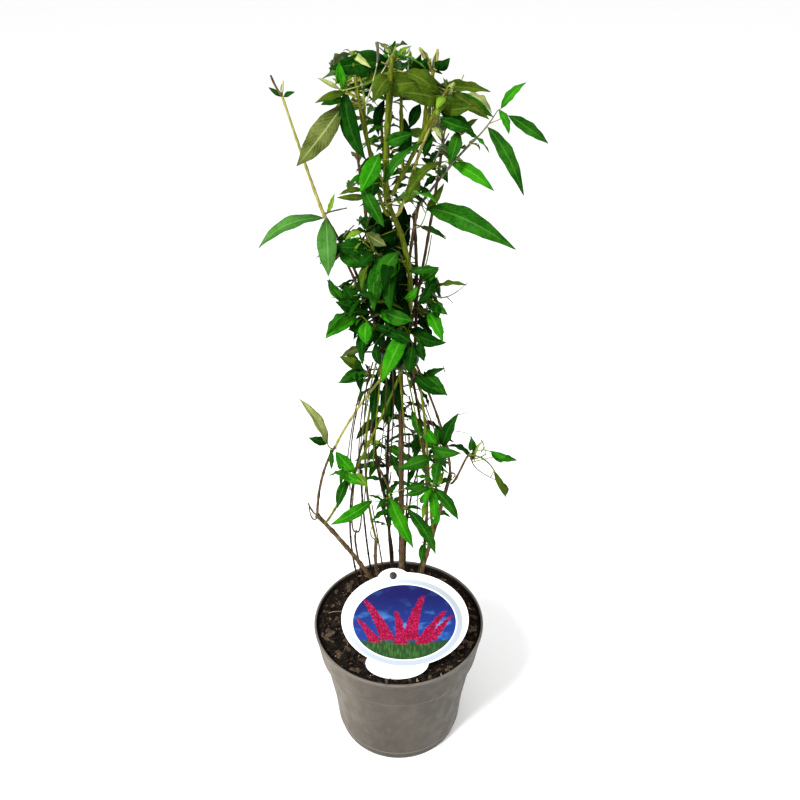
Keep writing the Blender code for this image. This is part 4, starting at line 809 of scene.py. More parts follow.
@dataclass(frozen=True)
class LeafFinish:
    """One face of a leaf: its colour, its veins and its felt."""

    name: str
    base: Colour
    # The light colour is a painted highlight, mixed in patches with the leaf's own mottle.
    light: Colour
    vein: Colour
    roughness: float = 0.42
    vein_relief: float = -0.00025
    felt: float = 0.0
    gloss: float = 0.014
    vein_rows: float = 14.4
    vein_slant: float = 3.2
    vein_share: float = 0.50
    patch_size: float = 0.016
    mottle_size: float = 0.0022
    mottle_depth: float = 0.00008
    speck_size: float = 0.0065
    foot_shade: float = 0.55
    half_shade: float = 0.30
    shade_tone: float = 0.35

    def material(self) -> bpy.types.Material:
        """Veins from the leaf's own map; patches over the plant that mix the leaf's mottle with
        painted highlights; and painted shade towards the leaf's foot and on one half.
        """
        recipe = Recipe(self.name, self.base, self.roughness)
        along, across = recipe.sheet_place()
        off = recipe.maths("MULTIPLY", recipe.off(across, 0.5), 2.0)
        midrib = recipe.span(off, 0.03, 0.13, 1.0, 0.0)
        rows = recipe.maths("MULTIPLY", along, self.vein_rows)
        slanted = recipe.maths("MULTIPLY_ADD", off, -self.vein_slant, rows)
        between = recipe.maths("PINGPONG", slanted, 0.5)
        side = recipe.span(between, 0.0, 0.09, 0.75, 0.0)
        veins = recipe.maths("MAXIMUM", midrib, side)
        patches = recipe.grain(self.patch_size, 2.0)
        mottle = recipe.grain(self.mottle_size, 4.0)
        # Painted highlight: patches over the plant, together with the leaf's own mottle, lighten
        # the leaf towards its light colour.
        light = recipe.span(recipe.maths("MULTIPLY_ADD", mottle, 0.65, patches), 0.58, 1.05)
        surface = recipe.mix(light, self.base, self.light)
        specks = recipe.spots(self.speck_size, 0.06, 0.10, 0.55)
        surface = recipe.mix(specks, surface, self.vein)
        foot = recipe.span(along, 0.0, 0.45, self.foot_shade, 0.0)
        shade = recipe.maths("MAXIMUM", foot, recipe.span(across, 0.46, 0.54, 0.0, self.half_shade))
        surface = recipe.mix(shade, surface, tuple(self.shade_tone * part for part in self.base))
        colour = recipe.mix(recipe.maths("MULTIPLY", veins, self.vein_share), surface, self.vein)
        height = recipe.maths("SUBTRACT", veins, recipe.maths("MULTIPLY", between, 0.8))
        normal = recipe.relief(height, self.vein_relief, 0.8)
        normal = recipe.relief(mottle, self.mottle_depth, 0.35, normal)
        roughness = recipe.span(patches, 0.3, 0.8, self.roughness - 0.06, self.roughness + 0.12)
        return recipe.finish(
            colour, normal, roughness, Sheen_Weight=self.felt, Sheen_Roughness=0.6,
            Specular_IOR_Level=self.gloss,
        )


@dataclass(frozen=True)
class BarkFinish:
    """The bark of a stem: long streaks, fine fibres and paler scars."""

    name: str
    base: Colour
    streak: Colour
    scar: Colour
    roughness: float = 0.62
    depth: float = 0.00025

    def material(self) -> bpy.types.Material:
        """Streaks along the stem, which runs mostly upwards."""
        recipe = Recipe(self.name, self.base, self.roughness)
        streaks = recipe.grain(0.0011, 4.0, (1.0, 1.0, 0.09))
        patches = recipe.grain(0.014, 3.0)
        fibres = recipe.grain(0.0004, 2.0, (1.0, 1.0, 0.12))
        colour = recipe.mix(recipe.span(streaks, 0.35, 0.7), self.base, self.streak)
        colour = recipe.mix(recipe.span(patches, 0.55, 0.75, 0.0, 0.7), colour, self.scar)
        height = recipe.maths("MULTIPLY_ADD", fibres, 0.35, streaks)
        return recipe.finish(
            colour, recipe.relief(height, self.depth, 0.7),
            recipe.span(streaks, 0.3, 0.8, self.roughness - 0.1, self.roughness + 0.15),
            Specular_IOR_Level=0.05,
        )


@dataclass(frozen=True)
class MouldedFinish:
    """Moulded plastic: a faint grain, handling marks and dust."""

    name: str
    base: Colour
    worn: Colour
    # The dust colour is real dust, and it also colours the painted highlight lines.
    dust_and_highlight: Colour
    roughness: float
    grain: float = 0.0006
    inner_shade: Colour | None = None
    lit: Colour | None = None
    painted_highlight_lines: tuple[tuple[float, float, float], ...] = ()
    lit_span: tuple[float, float] = (-0.058, -0.005)
    inner_shade_line: tuple[float, float] = (0.07166, 0.1469)
    inner_shade_foot: tuple[float, float] = (0.1200, 0.1300)
    inner_shade_top: tuple[float, float] = (0.1495, 0.1513)

    def material(self) -> bpy.types.Material:
        """Clouds and scuffs; painted light on the left side and painted highlight lines where the
        finish has them; and painted shade on the inner wall where the finish has a colour for it.
        """
        recipe = Recipe(self.name, self.base, self.roughness)
        clouds = recipe.grain(0.055, 3.0)
        scuffs = recipe.grain(0.012, 6.0, (1.0, 1.0, 0.7))
        fine = recipe.grain(self.grain, 2.0)
        colour = recipe.mix(recipe.span(clouds, 0.35, 0.75), self.base, self.worn)
        colour = recipe.mix(recipe.span(scuffs, 0.56, 0.80, 0.0, 0.35), colour, self.dust_and_highlight)
        colour = recipe.mix(recipe.spots(0.021, 0.02, 0.035, 0.45), colour, self.dust_and_highlight)
        if self.lit is not None:
            # Painted light: the left side of the pot, towards the key lamp, is lighter, its edge
            # softened by the clouds.
            x, _, z = recipe.axes()
            lit_side_place = recipe.maths("MULTIPLY_ADD", clouds, 0.03, x)
            colour = recipe.mix(recipe.span(lit_side_place, *self.lit_span, 0.75, 0.0), colour, self.lit)
            broken = recipe.span(scuffs, 0.30, 0.55, 0.55, 1.0)
            # Painted highlights: thin light lines at the foot, at the band's edge and on the lip,
            # in the dust colour and broken by the scuffs.
            for height, reach, share in self.painted_highlight_lines:
                line = recipe.span(recipe.off(z, height), 0.4 * reach, reach, share, 0.0)
                colour = recipe.mix(recipe.maths("MULTIPLY", line, broken), colour, self.dust_and_highlight)
        if self.inner_shade is not None:
            # Painted shade on the inner wall above the compost.
            colour = recipe.mix(self.inside(recipe, scuffs), colour, self.inner_shade)
        height = recipe.maths("MULTIPLY_ADD", scuffs, 0.5, fine)
        return recipe.finish(
            colour, recipe.relief(height, 0.00006, 0.6),
            recipe.span(scuffs, 0.35, 0.75, self.roughness - 0.05, self.roughness + 0.18),
            Specular_IOR_Level=0.22,
        )

    def inside(self, recipe: Recipe, scuffs: bpy.types.NodeSocket) -> bpy.types.NodeSocket:
        """1 on the inner wall above the compost, where shade is painted, fading towards the rim."""
        x, y, z = recipe.axes()
        squares = (recipe.maths("MULTIPLY", side, side) for side in (x, y))
        across = recipe.maths("SQRT", recipe.maths("ADD", *squares))
        line = recipe.maths("MULTIPLY_ADD", z, self.inner_shade_line[1], self.inner_shade_line[0])
        within = recipe.span(recipe.maths("SUBTRACT", line, across), 0.0, 0.0003)
        ragged = recipe.maths("MULTIPLY_ADD", scuffs, 0.0020, z)
        inner_shaded = recipe.maths("MULTIPLY", within, recipe.span(z, *self.inner_shade_foot))
        return recipe.maths("MULTIPLY", inner_shaded, recipe.span(ragged, *self.inner_shade_top, 0.9, 0.0))


@dataclass(frozen=True)
class CrumbFinish:
    """Compost, bark chips and straw: crumbly, dark and matt."""

    name: str
    base: Colour
    light: Colour
    size: float
    roughness: float = 0.9
    speck: Colour | None = None

    def material(self) -> bpy.types.Material:
        """Crumbs of two colours, with rare pale specks."""
        recipe = Recipe(self.name, self.base, self.roughness)
        crumbs = recipe.grain(self.size, 5.0)
        fine = recipe.grain(self.size / 5.0, 3.0)
        colour = recipe.mix(recipe.span(crumbs, 0.4, 0.7), self.base, self.light)
        if self.speck is not None:
            colour = recipe.mix(recipe.spots(0.006, 0.05, 0.08, 1.0), colour, self.speck)
        height = recipe.maths("MULTIPLY_ADD", fine, 0.4, crumbs)
        return recipe.finish(
            colour, recipe.relief(height, self.size * 0.5, 0.9),
            recipe.span(fine, 0.3, 0.7, self.roughness - 0.15, self.roughness),
            Specular_IOR_Level=0.04,
        )


def bearing_vector(degrees: float) -> Vector:
    """The level direction at a bearing."""
    turn = math.radians(degrees)
    return Vector((math.cos(turn), math.sin(turn), 0.0))


def bearings(aim: Vector) -> tuple[float, float]:
    """The bearing and the rise of a direction, in degrees."""
    towards = math.degrees(math.atan2(aim.y, aim.x))
    return towards, math.degrees(math.asin(max(-1.0, min(1.0, aim.z))))


def metres(place: Place) -> Vector:
    """A place of the tables in metres."""
    return Vector(place) * MM


def shares_of(steps: int) -> list[float]:
    """Even shares from 0 to 1."""
    return [step / steps for step in range(steps + 1)]


@dataclass(frozen=True)
class Cubic:
    """A cubic curve through space, from its four control points."""

    points: tuple[Vector, ...]

    def at(self, share: float) -> Vector:
        """The point at a share of the way."""
        back = 1.0 - share
        weights = (back**3, 3 * share * back**2, 3 * share**2 * back, share**3)
        return sum((point * weight for point, weight in zip(self.points, weights)), Vector())

    def axis(self, share: float) -> Vector:
        """The direction at a share of the way."""
        back = 1.0 - share
        weights = (back**2, 2 * share * back, share**2)
        steps = [after - before for before, after in zip(self.points, self.points[1:])]
        return sum((step * weight for step, weight in zip(steps, weights)), Vector()).normalized()

    def length(self) -> float:
        """The length of the curve, from twenty chords."""
        marks = [self.at(share) for share in shares_of(20)]
        return sum((after - before).length for before, after in zip(marks, marks[1:]))


def curve_to(start: Vector, bend: Vector, end: Vector) -> Cubic:
    """The smooth curve that leaves and ends in the direction of one bend."""
    return Cubic((start, start.lerp(bend, 2 / 3), end.lerp(bend, 2 / 3), end))


def curve_through(start: Vector, through: Vector, end: Vector) -> Cubic:
    """The smooth curve that passes a point halfway."""
    return curve_to(start, through * 2 - (start + end) / 2, end)


@dataclass
class Skeleton:
    """Finds the middle line of each limb and shoot, by the rules that shaped the solids."""

    compost_top: float = 0.147
    gap: float = 0.0003
    band_low: float = 0.478
    band_middle: float = 0.487
    band_high: float = 0.4955
    band_circle: float = 0.0156
    band_turn: float = 12.0
    band_centre: tuple[float, float] = (0.002, 0.002)
    band_places: int = 8
    elbow_spread: float = 6.0
    found: dict[str, Path] = field(default_factory=dict)
    middles: list[Vector] = field(default_factory=list)

    def band_place(self, place: int, height: float) -> Vector:
        """Where a stem stands in the band, at one height."""
        if place == self.band_places:
            return Vector((*self.band_centre, height))
        level = bearing_vector(360 / self.band_places * place + self.band_turn)
        return level * self.band_circle + Vector((0.0, 0.0, height))

    def radius(self, name: str, share: float) -> float:
        """The plain taper of a limb."""
        limb = LIMBS[name]
        return (limb.thick + (limb.thin - limb.thick) * share) * MM

    def fork(self, fork: Fork) -> tuple[Vector, Vector]:
        """Where a stem leaves a limb, clear of its bark, and the direction it leaves in."""
        path = self.path(fork.limb)
        if fork.up >= 1:
            return path.points[-1] + path.end_axis * self.gap, path.end_axis
        curve = Cubic(path.points)
        axis = curve.axis(fork.up)
        away = bearing_vector(fork.towards)
        away = (away - axis * away.dot(axis)).normalized()
        return curve.at(fork.up) + away * (self.radius(fork.limb, fork.up) + self.gap), away

    def path(self, name: str) -> Path:
        """The middle line of a limb, with the straight stretches that it has inside the band."""
        if name not in self.found:
            self.found[name] = self.trace(LIMBS[name])
        return self.found[name]

    def nearest(self, place: Vector) -> Vector:
        """The nearest point on the middle line of a limb or a shoot."""
        if not self.middles:
            curves = [Cubic(self.path(name).points) for name in LIMBS]
            curves += [self.shoot(spray) for spray in SPRAYS.values()]
            self.middles = [curve.at(share) for curve in curves for share in shares_of(50)]
        return min(self.middles, key=lambda middle: (middle - place).length)

    def trace(self, limb: Limb) -> Path:
        """Works out one limb's middle line.

        Args:
            limb: The limb's row of the table.

        Returns:
            Its path.
        """
        before: tuple[Vector, ...] = ()
        after: tuple[Vector, ...] = ()
        if isinstance(limb.root, Foot):
            start = Vector((limb.root.x * MM, limb.root.y * MM, self.compost_top + self.gap))
            foot_axis = UP
        elif isinstance(limb.root, Tie):
            start = self.band_place(limb.root.place, self.band_high)
            before = (self.band_place(limb.root.place, self.band_middle + self.gap),)
            foot_axis = UP
        else:
            start, foot_axis = self.fork(limb.root)
        if isinstance(limb.end, Tie):
            end = self.band_place(limb.end.place, self.band_low)
            after = (self.band_place(limb.end.place, self.band_middle),)
        else:
            end = metres(limb.end)
        through = metres(limb.through)
        curve = curve_through(start, through, end)
        if isinstance(limb.root, Fork) and limb.root.up < 1:
            first = start + foot_axis * (self.elbow_spread * limb.thick * MM)
            # The third point lets the curve pass its middle place halfway.
            curve = Cubic((start, first, (through * 8 - start - first * 3 - end) / 3, end))
        end_axis = UP if after else curve.axis(1.0)
        return Path(curve.points, foot_axis, end_axis, before, after)

    def shoot(self, spray: Spray) -> Cubic:
        """The middle line of a spray's own stem: off its limb, then bending to its tip."""
        start, away = self.fork(spray.root)
        tip = metres(spray.tip)
        return curve_to(start, start + away * (tip - start).length * spray.bend, tip)


@dataclass(frozen=True)
class Viewpoint:
    """The photograph's point of view: it places the camera and tells what lies where."""

    place: Place = (0.0015, -0.6623, 0.8337)
    pitch: float = 59.15
    focal_length: float = 36.63
    sensor: float = 36.0
    picture: float = 800.0

    def see(self, point: Vector) -> tuple[float, float, float]:
        """Where a point lies in the picture, from its upper left corner, and how far off it is."""
        fall = math.radians(90.0 - self.pitch)
        arm = point - Vector(self.place)
        far = arm.y * math.cos(fall) - arm.z * math.sin(fall)
        high = arm.y * math.sin(fall) + arm.z * math.cos(fall)
        scale = self.scale(far)
        return self.picture / 2 + arm.x * scale, self.picture / 2 - high * scale, far

    def scale(self, far: float) -> float:
        """The pixels of the picture to a metre, at a distance."""
        return self.focal_length / self.sensor * self.picture / far


@dataclass
class Tube:
    """A round stem through a row of places, skinned from one grid that closes on itself."""

    places: list[Vector]
    axes: list[Vector]
    radii: list[float]
    sides: int
    slot: int = 0
    rough: float = 0.0
    bark_size: float = 0.004
    map_unit: float = 0.02

    def add_to(self, bm: bmesh.types.BMesh) -> None:
        """Skins the stem. Its map runs round it and along it, in the map's unit.

        Args:
            bm: The mesh that takes the stem.
        """
        steps = len(self.places) - 1
        layer = bm.loops.layers.uv.verify()
        grid = bmesh.ops.create_grid(bm, x_segments=self.sides, y_segments=steps, size=1.0)
        verts = grid["verts"]
        faces = {face for vert in verts for face in vert.link_faces}
        reach = [0.0]
        for before, after in zip(self.places, self.places[1:]):
            reach.append(reach[-1] + (after - before).length)
        across = self.axes[0].orthogonal().normalized()
        frames = []
        for axis in self.axes:
            across = (across - axis * across.dot(axis)).normalized()
            frames.append((across, axis.cross(across)))
        cells = {
            vert: (round((vert.co.x + 1) / 2 * self.sides), round((vert.co.y + 1) / 2 * steps))
            for vert in verts
        }
        for face in faces:
            face.smooth = True
            face.material_index = self.slot
            for loop in face.loops:
                side, step = cells[loop.vert]
                loop[layer].uv = (side / self.sides, reach[step] / self.map_unit)
        seam = []
        for vert, (side, step) in cells.items():
            turn = math.tau * (side % self.sides) / self.sides
            first, second = frames[step]
            out = first * math.cos(turn) + second * math.sin(turn)
            vert.co = self.places[step] + out * self.radii[step]
            if self.rough:
                lump = noise.noise(vert.co / self.bark_size)
                vert.co += out * (self.radii[step] * self.rough * lump)
            if side in (0, self.sides):
                seam.append(vert)
        bmesh.ops.remove_doubles(bm, verts=seam, dist=1e-7)
        rims = {
            edge for face in faces if face.is_valid for edge in face.edges if edge.is_boundary
        }
        caps = bmesh.ops.holes_fill(bm, edges=list(rims), sides=0)["faces"]
        for cap in caps:
            cap.material_index = self.slot
        bmesh.ops.recalc_face_normals(bm, faces=[face for face in faces if face.is_valid] + caps)


def tube_along(
    curve: Cubic, radii: list[float], sides: int, slot: int, rough: float = 0.0
) -> Tube:
    """A thin twig along a curve, with its radii at even shares of the way."""
    shares = shares_of(len(radii) - 1)
    places, axes = [curve.at(share) for share in shares], [curve.axis(share) for share in shares]
    return Tube(places, axes, radii, sides, slot, rough, TWIG_BARK_SIZE)


def add_mesh_object(name: str, bm: bmesh.types.BMesh) -> bpy.types.Object:
    """Makes a mesh object at the origin from a bmesh, and frees the bmesh."""
    mesh = bpy.data.meshes.new(name)
    bm.to_mesh(mesh)
    bm.free()
    item = bpy.data.objects.new(name, mesh)
    bpy.context.scene.collection.objects.link(item)
    return item


def combine(item: bpy.types.Object, *others: tuple[bpy.types.Object, str]) -> bpy.types.Mesh:
    """The mesh of an item joined with others or cut by them. All but the item are removed."""
    for other, operation in others:
        modifier = item.modifiers.new(operation.lower(), "BOOLEAN")
        modifier.operation, modifier.solver, modifier.object = operation, "EXACT", other
    shown = item.evaluated_get(bpy.context.evaluated_depsgraph_get())
    mesh = bpy.data.meshes.new_from_object(shown)
    item.modifiers.clear()
    for other, _ in others:
        bpy.data.objects.remove(other)
    return mesh


def dress(
    item: bpy.types.Object, materials: Sequence[bpy.types.Material], slot: str, nodes: Sequence[str]
) -> bpy.types.Object:
    """Gives a piece its finishes, its body and the solids that it stands for.

    Args:
        item: The piece.
        materials: Its finishes, in the order of its faces' numbers.
        slot: The name of a material slot; it is not used.
        nodes: The solids that it replaces.

    Returns:
        The piece.
    """
    for material in materials:
        item.data.materials.append(material)
    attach(item, "root")
    if nodes:
        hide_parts(*nodes)
    LOG.info("%s: %d faces", item.name, len(item.data.polygons))
    return item


def spun(profile: Sequence[tuple[float, float]], steps: int) -> bmesh.types.BMesh:
    """A closed solid of revolution about Z, from a profile of radius and height.

    Args:
        profile: The points of the profile. It runs from the axis to the axis, or is a loop.
        steps: The number of steps round.

    Returns:
        The solid, with its normals outwards.
    """
    bm = bmesh.new()
    verts = [bm.verts.new((radius, 0.0, height)) for radius, height in profile]
    pairs = list(zip(verts, verts[1:]))
    if profile[0][0] > 0:
        pairs.append((verts[-1], verts[0]))
    edges = [bm.edges.new(pair) for pair in pairs]
    bmesh.ops.spin(
        bm, geom=verts + edges, cent=(0, 0, 0), axis=(0, 0, 1), angle=math.tau, steps=steps,
        use_merge=True,
    )
    bmesh.ops.remove_doubles(bm, verts=bm.verts, dist=1e-7)
    bmesh.ops.recalc_face_normals(bm, faces=bm.faces)
    for face in bm.faces:
        face.smooth = True
    return bm


def rounded(profile: Sequence[Place], segments: int = 4) -> list[tuple[float, float]]:
    """A profile with its corners rounded.

    Args:
        profile: Radius, height and corner radius of each point.
        segments: The number of pieces in a rounded corner.

    Returns:
        The points of the rounded profile.
    """
    points: list[tuple[float, float]] = []
    for number, (radius, height, corner) in enumerate(profile):
        here = Vector((radius, height))
        if corner <= 0 or number in (0, len(profile) - 1):
            points.append((radius, height))
            continue
        before, after = Vector(profile[number - 1][:2]), Vector(profile[number + 1][:2])
        first = here + (before - here).normalized() * corner
        last = here + (after - here).normalized() * corner
        for step in range(segments + 1):
            share = step / segments
            point = first * (1 - share) ** 2 + here * (2 * share * (1 - share)) + last * share**2
            points.append((point.x, point.y))
    return points


@dataclass
class NurseryPot:
    """A round tapered pot of matt plastic, with a wide band, a lip, a foot line and drain holes."""

    height: float = 0.152
    top_radius: float = 0.095
    outside: tuple[tuple[float, float, float], ...] = (
        (0.0, 0.0698, 0.0009), (0.0088, 0.0705, 0.0005), (0.0106, 0.0725, 0.0006),
        (0.045, 0.0753, 0.008), (0.1085, 0.0849, 0.003), (0.1146, 0.0890, 0.0010),
        (0.1154, 0.0893, 0.0005), (0.147, 0.0940, 0.0006),
    )
    wall: float = 0.0015
    floor: float = 0.003
    lip_height: float = 0.003
    sole_lift: float = 0.0012
    foot_width: float = 0.005
    drain_holes: int = 8
    drain_circle: float = 0.048
    drain_radius: float = 0.005
    steps: int = 144
    finish: MouldedFinish = MouldedFinish(
        "taupe pot plastic", (0.050, 0.041, 0.030), (0.069, 0.058, 0.044), (0.150, 0.135, 0.115),
        # The colours after the grain are the painted shade of the inner wall and the painted light
        # of the left side.
        0.50, 0.0006, (0.0085, 0.0065, 0.005), (0.118, 0.096, 0.068),
        # Painted highlight lines, each a height, a reach and a share: the foot, the band's edge and
        # the lip.
        ((0.0124, 0.0011, 0.85), (0.1150, 0.0009, 0.40), (0.1516, 0.0022, 0.70)),
    )

    def wall_radius(self, height: float) -> float:
        """The outside radius of the wall at a height."""
        for (low, narrow, _), (high, wide, _) in zip(self.outside, self.outside[1:]):
            if height <= high:
                return narrow + (wide - narrow) * (height - low) / (high - low)
        return self.outside[-1][1]

    def profile(self) -> list[tuple[float, float]]:
        """The pot's section, from the middle of its underside round to the middle of its floor."""
        lip_foot = self.height - self.lip_height
        foot = self.outside[0][1]
        inner = self.outside[-1:2:-1]
        return rounded((
            (0.0, self.sole_lift, 0.0),
            (foot - self.foot_width - 0.001, self.sole_lift, 0.001),
            (foot - self.foot_width, 0.0, 0.0005),
            *((radius, height, corner) for height, radius, corner in self.outside),
            (self.top_radius - 0.0002, lip_foot, 0.0005),
            (self.top_radius, self.height - 0.0012, 0.0004),
            (self.top_radius - 0.0007, self.height, 0.0006),
            (self.wall_radius(self.height) - self.wall, self.height, 0.0006),
            *((radius - self.wall, height, corner) for height, radius, corner in inner),
            (self.wall_radius(self.floor) - self.wall, self.floor, 0.001),
            (0.0, self.floor, 0.0),
        ))

    def build(self) -> bpy.types.Object:
        """Builds and dresses the pot.

        Returns:
            The pot.
        """
        pot = add_mesh_object("pot_shell", spun(self.profile(), self.steps))
        drill_mesh = bmesh.new()
        for number in range(self.drain_holes):
            drill = bmesh.ops.create_cone(
                drill_mesh, cap_ends=True, segments=24, radius1=self.drain_radius,
                radius2=self.drain_radius, depth=4 * self.floor,
            )
            level = bearing_vector(360 * (number + 0.5) / self.drain_holes)
            bmesh.ops.translate(drill_mesh, verts=drill["verts"], vec=level * self.drain_circle)
        drills = add_mesh_object("drain_drills", drill_mesh)
        pot.data = combine(pot, (drills, "DIFFERENCE"))
        pot.data.shade_smooth()
        pot.data.set_sharp_from_angle(angle=math.radians(40))
        return dress(pot, [self.finish.material()], "pot plastic", ["pot"])


@dataclass
class CompostBed:
    """The fill of the pot: crumbly compost with bark chips, straws and white grains on it."""

    pot: NurseryPot
    top: float = 0.147
    edge_drop: float = 0.0008
    stem_circle: float = 0.040
    gap: float = 0.0003
    lump_size: float = 0.013
    lump_height: float = 0.0016
    card_foot: Place = (0.0, -0.083, 0.1478)
    heap: tuple[float, float] = (0.040, 0.012)
    rings: int = 44
    steps: int = 120
    chips: int = 1150
    straws: int = 34
    grains: int = 26
    straw: int = 3
    grain: int = 4
    chip_size: tuple[float, float] = (0.0016, 0.0050)
    large_size: tuple[float, float] = (0.006, 0.0085)
    large_share: float = 0.04
    straw_size: tuple[float, float] = (0.002, 0.0045)
    grain_size: tuple[float, float] = (0.0004, 0.0009)
    straw_length: tuple[float, float] = (0.006, 0.020)
    straw_lift: tuple[float, float] = (0.0006, 0.0018)
    straw_radius: tuple[float, float] = (0.00022, 0.0005)
    straw_reach: float = 0.076
    earth: CrumbFinish = CrumbFinish(
        "dark compost", (0.0040, 0.0030, 0.0024), (0.0190, 0.0135, 0.0100), 0.0022, 0.95,
        (0.180, 0.150, 0.110),
    )
    chip_finishes: tuple[CrumbFinish, ...] = (
        CrumbFinish("black bark chip", (0.0060, 0.0045, 0.0032), (0.0300, 0.0220, 0.0160), 0.0016),
        CrumbFinish("brown bark chip", (0.040, 0.026, 0.017), (0.140, 0.100, 0.068), 0.0016),
        CrumbFinish("red bark chip", (0.042, 0.022, 0.012), (0.100, 0.055, 0.032), 0.0016),
        CrumbFinish("straw", (0.2664, 0.1998, 0.111), (0.407, 0.333, 0.2072), 0.0015, 0.7),
        CrumbFinish("white grain", (0.407, 0.3848, 0.3478), (0.555, 0.5328, 0.5032), 0.0008, 0.8),
    )
    chip_shares: tuple[float, ...] = (0.50, 0.36, 0.10, 0.04, 0.0)

    def surface(self, x: float, y: float) -> float:
        """The height of the bed at a place, with its lumps and the heap under the card's foot."""
        across = math.hypot(x, y)
        edge = self.pot.wall_radius(self.top) - self.pot.wall
        out = min(1.0, max(0.0, (across - self.stem_circle) / (edge - self.stem_circle)))
        height = self.top - self.edge_drop * out**1.5
        lumps = noise.fractal(Vector((x, y, 0.0)) / self.lump_size, 0.6, 2.0, 3)
        height += self.lump_height * lumps * min(1.0, 0.35 + out)
        foot = Vector((x - self.card_foot[0], y - self.card_foot[1]))
        near = math.exp(-((foot.x / self.heap[0]) ** 2) - (foot.y / self.heap[1]) ** 2)
        return height + (self.card_foot[2] - 0.0005 - height) * near * 0.9

    def build_bed(self) -> bpy.types.Object:
        """The closed body of the compost, with its uneven top."""
        low = self.pot.floor + self.gap
        wall = self.pot.wall + self.gap
        edge = self.pot.wall_radius(self.top - self.edge_drop) - wall
        profile = [(0.0, low), (self.pot.wall_radius(low) - wall, low)]
        profile += [(radius - wall, height) for height, radius, _ in self.pot.outside[3:7]]
        profile += [
            (edge * (1 - ring / self.rings), self.top) for ring in range(self.rings)
        ]
        profile.append((0.0, self.top))
        bm = spun(profile, self.steps)
        for vert in bm.verts:
            if vert.co.z > self.top - 1e-5:
                vert.co.z = self.surface(vert.co.x, vert.co.y)
        return dress(
            add_mesh_object("compost_bed", bm), [self.earth.material()], "compost", ["compost"]
        )

    def add_chip(self, bm: bmesh.types.BMesh, draw: random.Random, slot: int) -> None:
        """Lays one chip, straw or grain on the bed.

        Args:
            bm: The mesh that takes the chip.
            draw: The seeded numbers.
            slot: The number of its finish.
        """
        small = {
            self.straw: draw.uniform(*self.straw_size), self.grain: draw.uniform(*self.grain_size),
        }
        size = small.get(slot, draw.uniform(*self.chip_size) * draw.uniform(0.6, 1.45))
        if slot < 2 and draw.random() < self.large_share:
            size = draw.uniform(*self.large_size)
        room = self.pot.wall_radius(self.top) - self.pot.wall - 0.0012 - size
        level = bearing_vector(draw.uniform(0, 360)) * (math.sqrt(draw.random()) * room)
        shape = (1.0, draw.uniform(0.25, 0.75), draw.uniform(0.15, 0.45))
        if slot == self.grain:
            shape = (1.0, draw.uniform(0.7, 1.0), draw.uniform(0.6, 1.0))
        elif slot == self.straw:
            shape = (1.0, draw.uniform(0.2, 0.4), 0.12)
        turn = Euler((draw.gauss(0, 0.35), draw.gauss(0, 0.35), draw.uniform(0, math.tau)))
        place = Vector((level.x, level.y, self.surface(level.x, level.y) + size * 0.08))
        matrix = Matrix.Translation(place) @ turn.to_matrix().to_4x4()
        chip = bmesh.ops.create_icosphere(bm, subdivisions=1, radius=size)
        for vert in chip["verts"]:
            jag = 1.0 + draw.uniform(-0.28, 0.28)
            flat = Vector([side * stretch * jag for side, stretch in zip(vert.co, shape)])
            vert.co = matrix @ flat
        for face in {face for vert in chip["verts"] for face in vert.link_faces}:
            face.material_index = slot

    def add_straw(self, bm: bmesh.types.BMesh, draw: random.Random) -> None:
        """Lays one bent straw or root thread on the bed."""
        far = math.sqrt(draw.random()) * self.straw_reach
        level = bearing_vector(draw.uniform(0, 360)) * far
        heading = bearing_vector(draw.uniform(0, 360))
        length = draw.uniform(*self.straw_length)
        ends = [level - heading * length / 2, level + heading * length / 2]
        middle = level + bearing_vector(draw.uniform(0, 360)) * length * 0.15
        lift = draw.uniform(*self.straw_lift)
        places = [
            Vector((place.x, place.y, self.surface(place.x, place.y) + lift * (1 + step % 2)))
            for step, place in enumerate((ends[0], middle, ends[1]))
        ]
        radii = [draw.uniform(*self.straw_radius)] * 7
        slot = self.straw if draw.random() < 0.6 else 1
        tube_along(curve_through(*places), radii, 5, slot).add_to(bm)

    def build_chips(self) -> bpy.types.Object:
        """All that lies loose on the bed."""
        draw = random.Random(41)
        bm = bmesh.new()
        bm.loops.layers.uv.verify()
        for _ in range(self.straws):
            self.add_straw(bm, draw)
        for slot in draw.choices(range(5), self.chip_shares, k=self.chips):
            self.add_chip(bm, draw, slot)
        for _ in range(self.grains):
            self.add_chip(bm, draw, self.grain)
        finishes = [finish.material() for finish in self.chip_finishes]
        return dress(add_mesh_object("bark_chips", bm), finishes, "compost", [])


@dataclass
class StemBand:
    """The dark band that holds the stems together."""

    middle: float = 0.487
    height: float = 0.013
    inner_radius: float = 0.0175
    thickness: float = 0.0016
    finish: MouldedFinish = MouldedFinish(
        "dark band", (0.014, 0.032, 0.020), (0.026, 0.052, 0.034), (0.07, 0.10, 0.07), 0.5, 0.0004
    )

    def build(self) -> bpy.types.Object:
        """Builds the band with soft edges and a slightly uneven shape.

        Returns:
            The band.
        """
        low, top = self.middle - self.height / 2, self.middle + self.height / 2
        outer = self.inner_radius + self.thickness
        ridge = outer - self.thickness * 0.3
        profile = rounded((
            (self.inner_radius, low, 0.0),
            (ridge, low, 0.0004),
            (outer, low + 0.0018, 0.0006),
            (outer - 0.0002, self.middle, 0.002),
            (outer, top - 0.0018, 0.0006),
            (ridge, top, 0.0004),
            (self.inner_radius, top, 0.0),
        ))
        bm = spun(profile, 96)
        for vert in bm.verts:
            level = Vector((vert.co.x, vert.co.y, 0.0))
            wave = noise.noise(vert.co / 0.011)
            vert.co += level.normalized() * (0.0003 * wave)
            vert.co.z += 0.0006 * noise.noise(level / 0.012)
        band = add_mesh_object("stem_band", bm)
        return dress(band, [self.finish.material()], "tie", ["tie"])


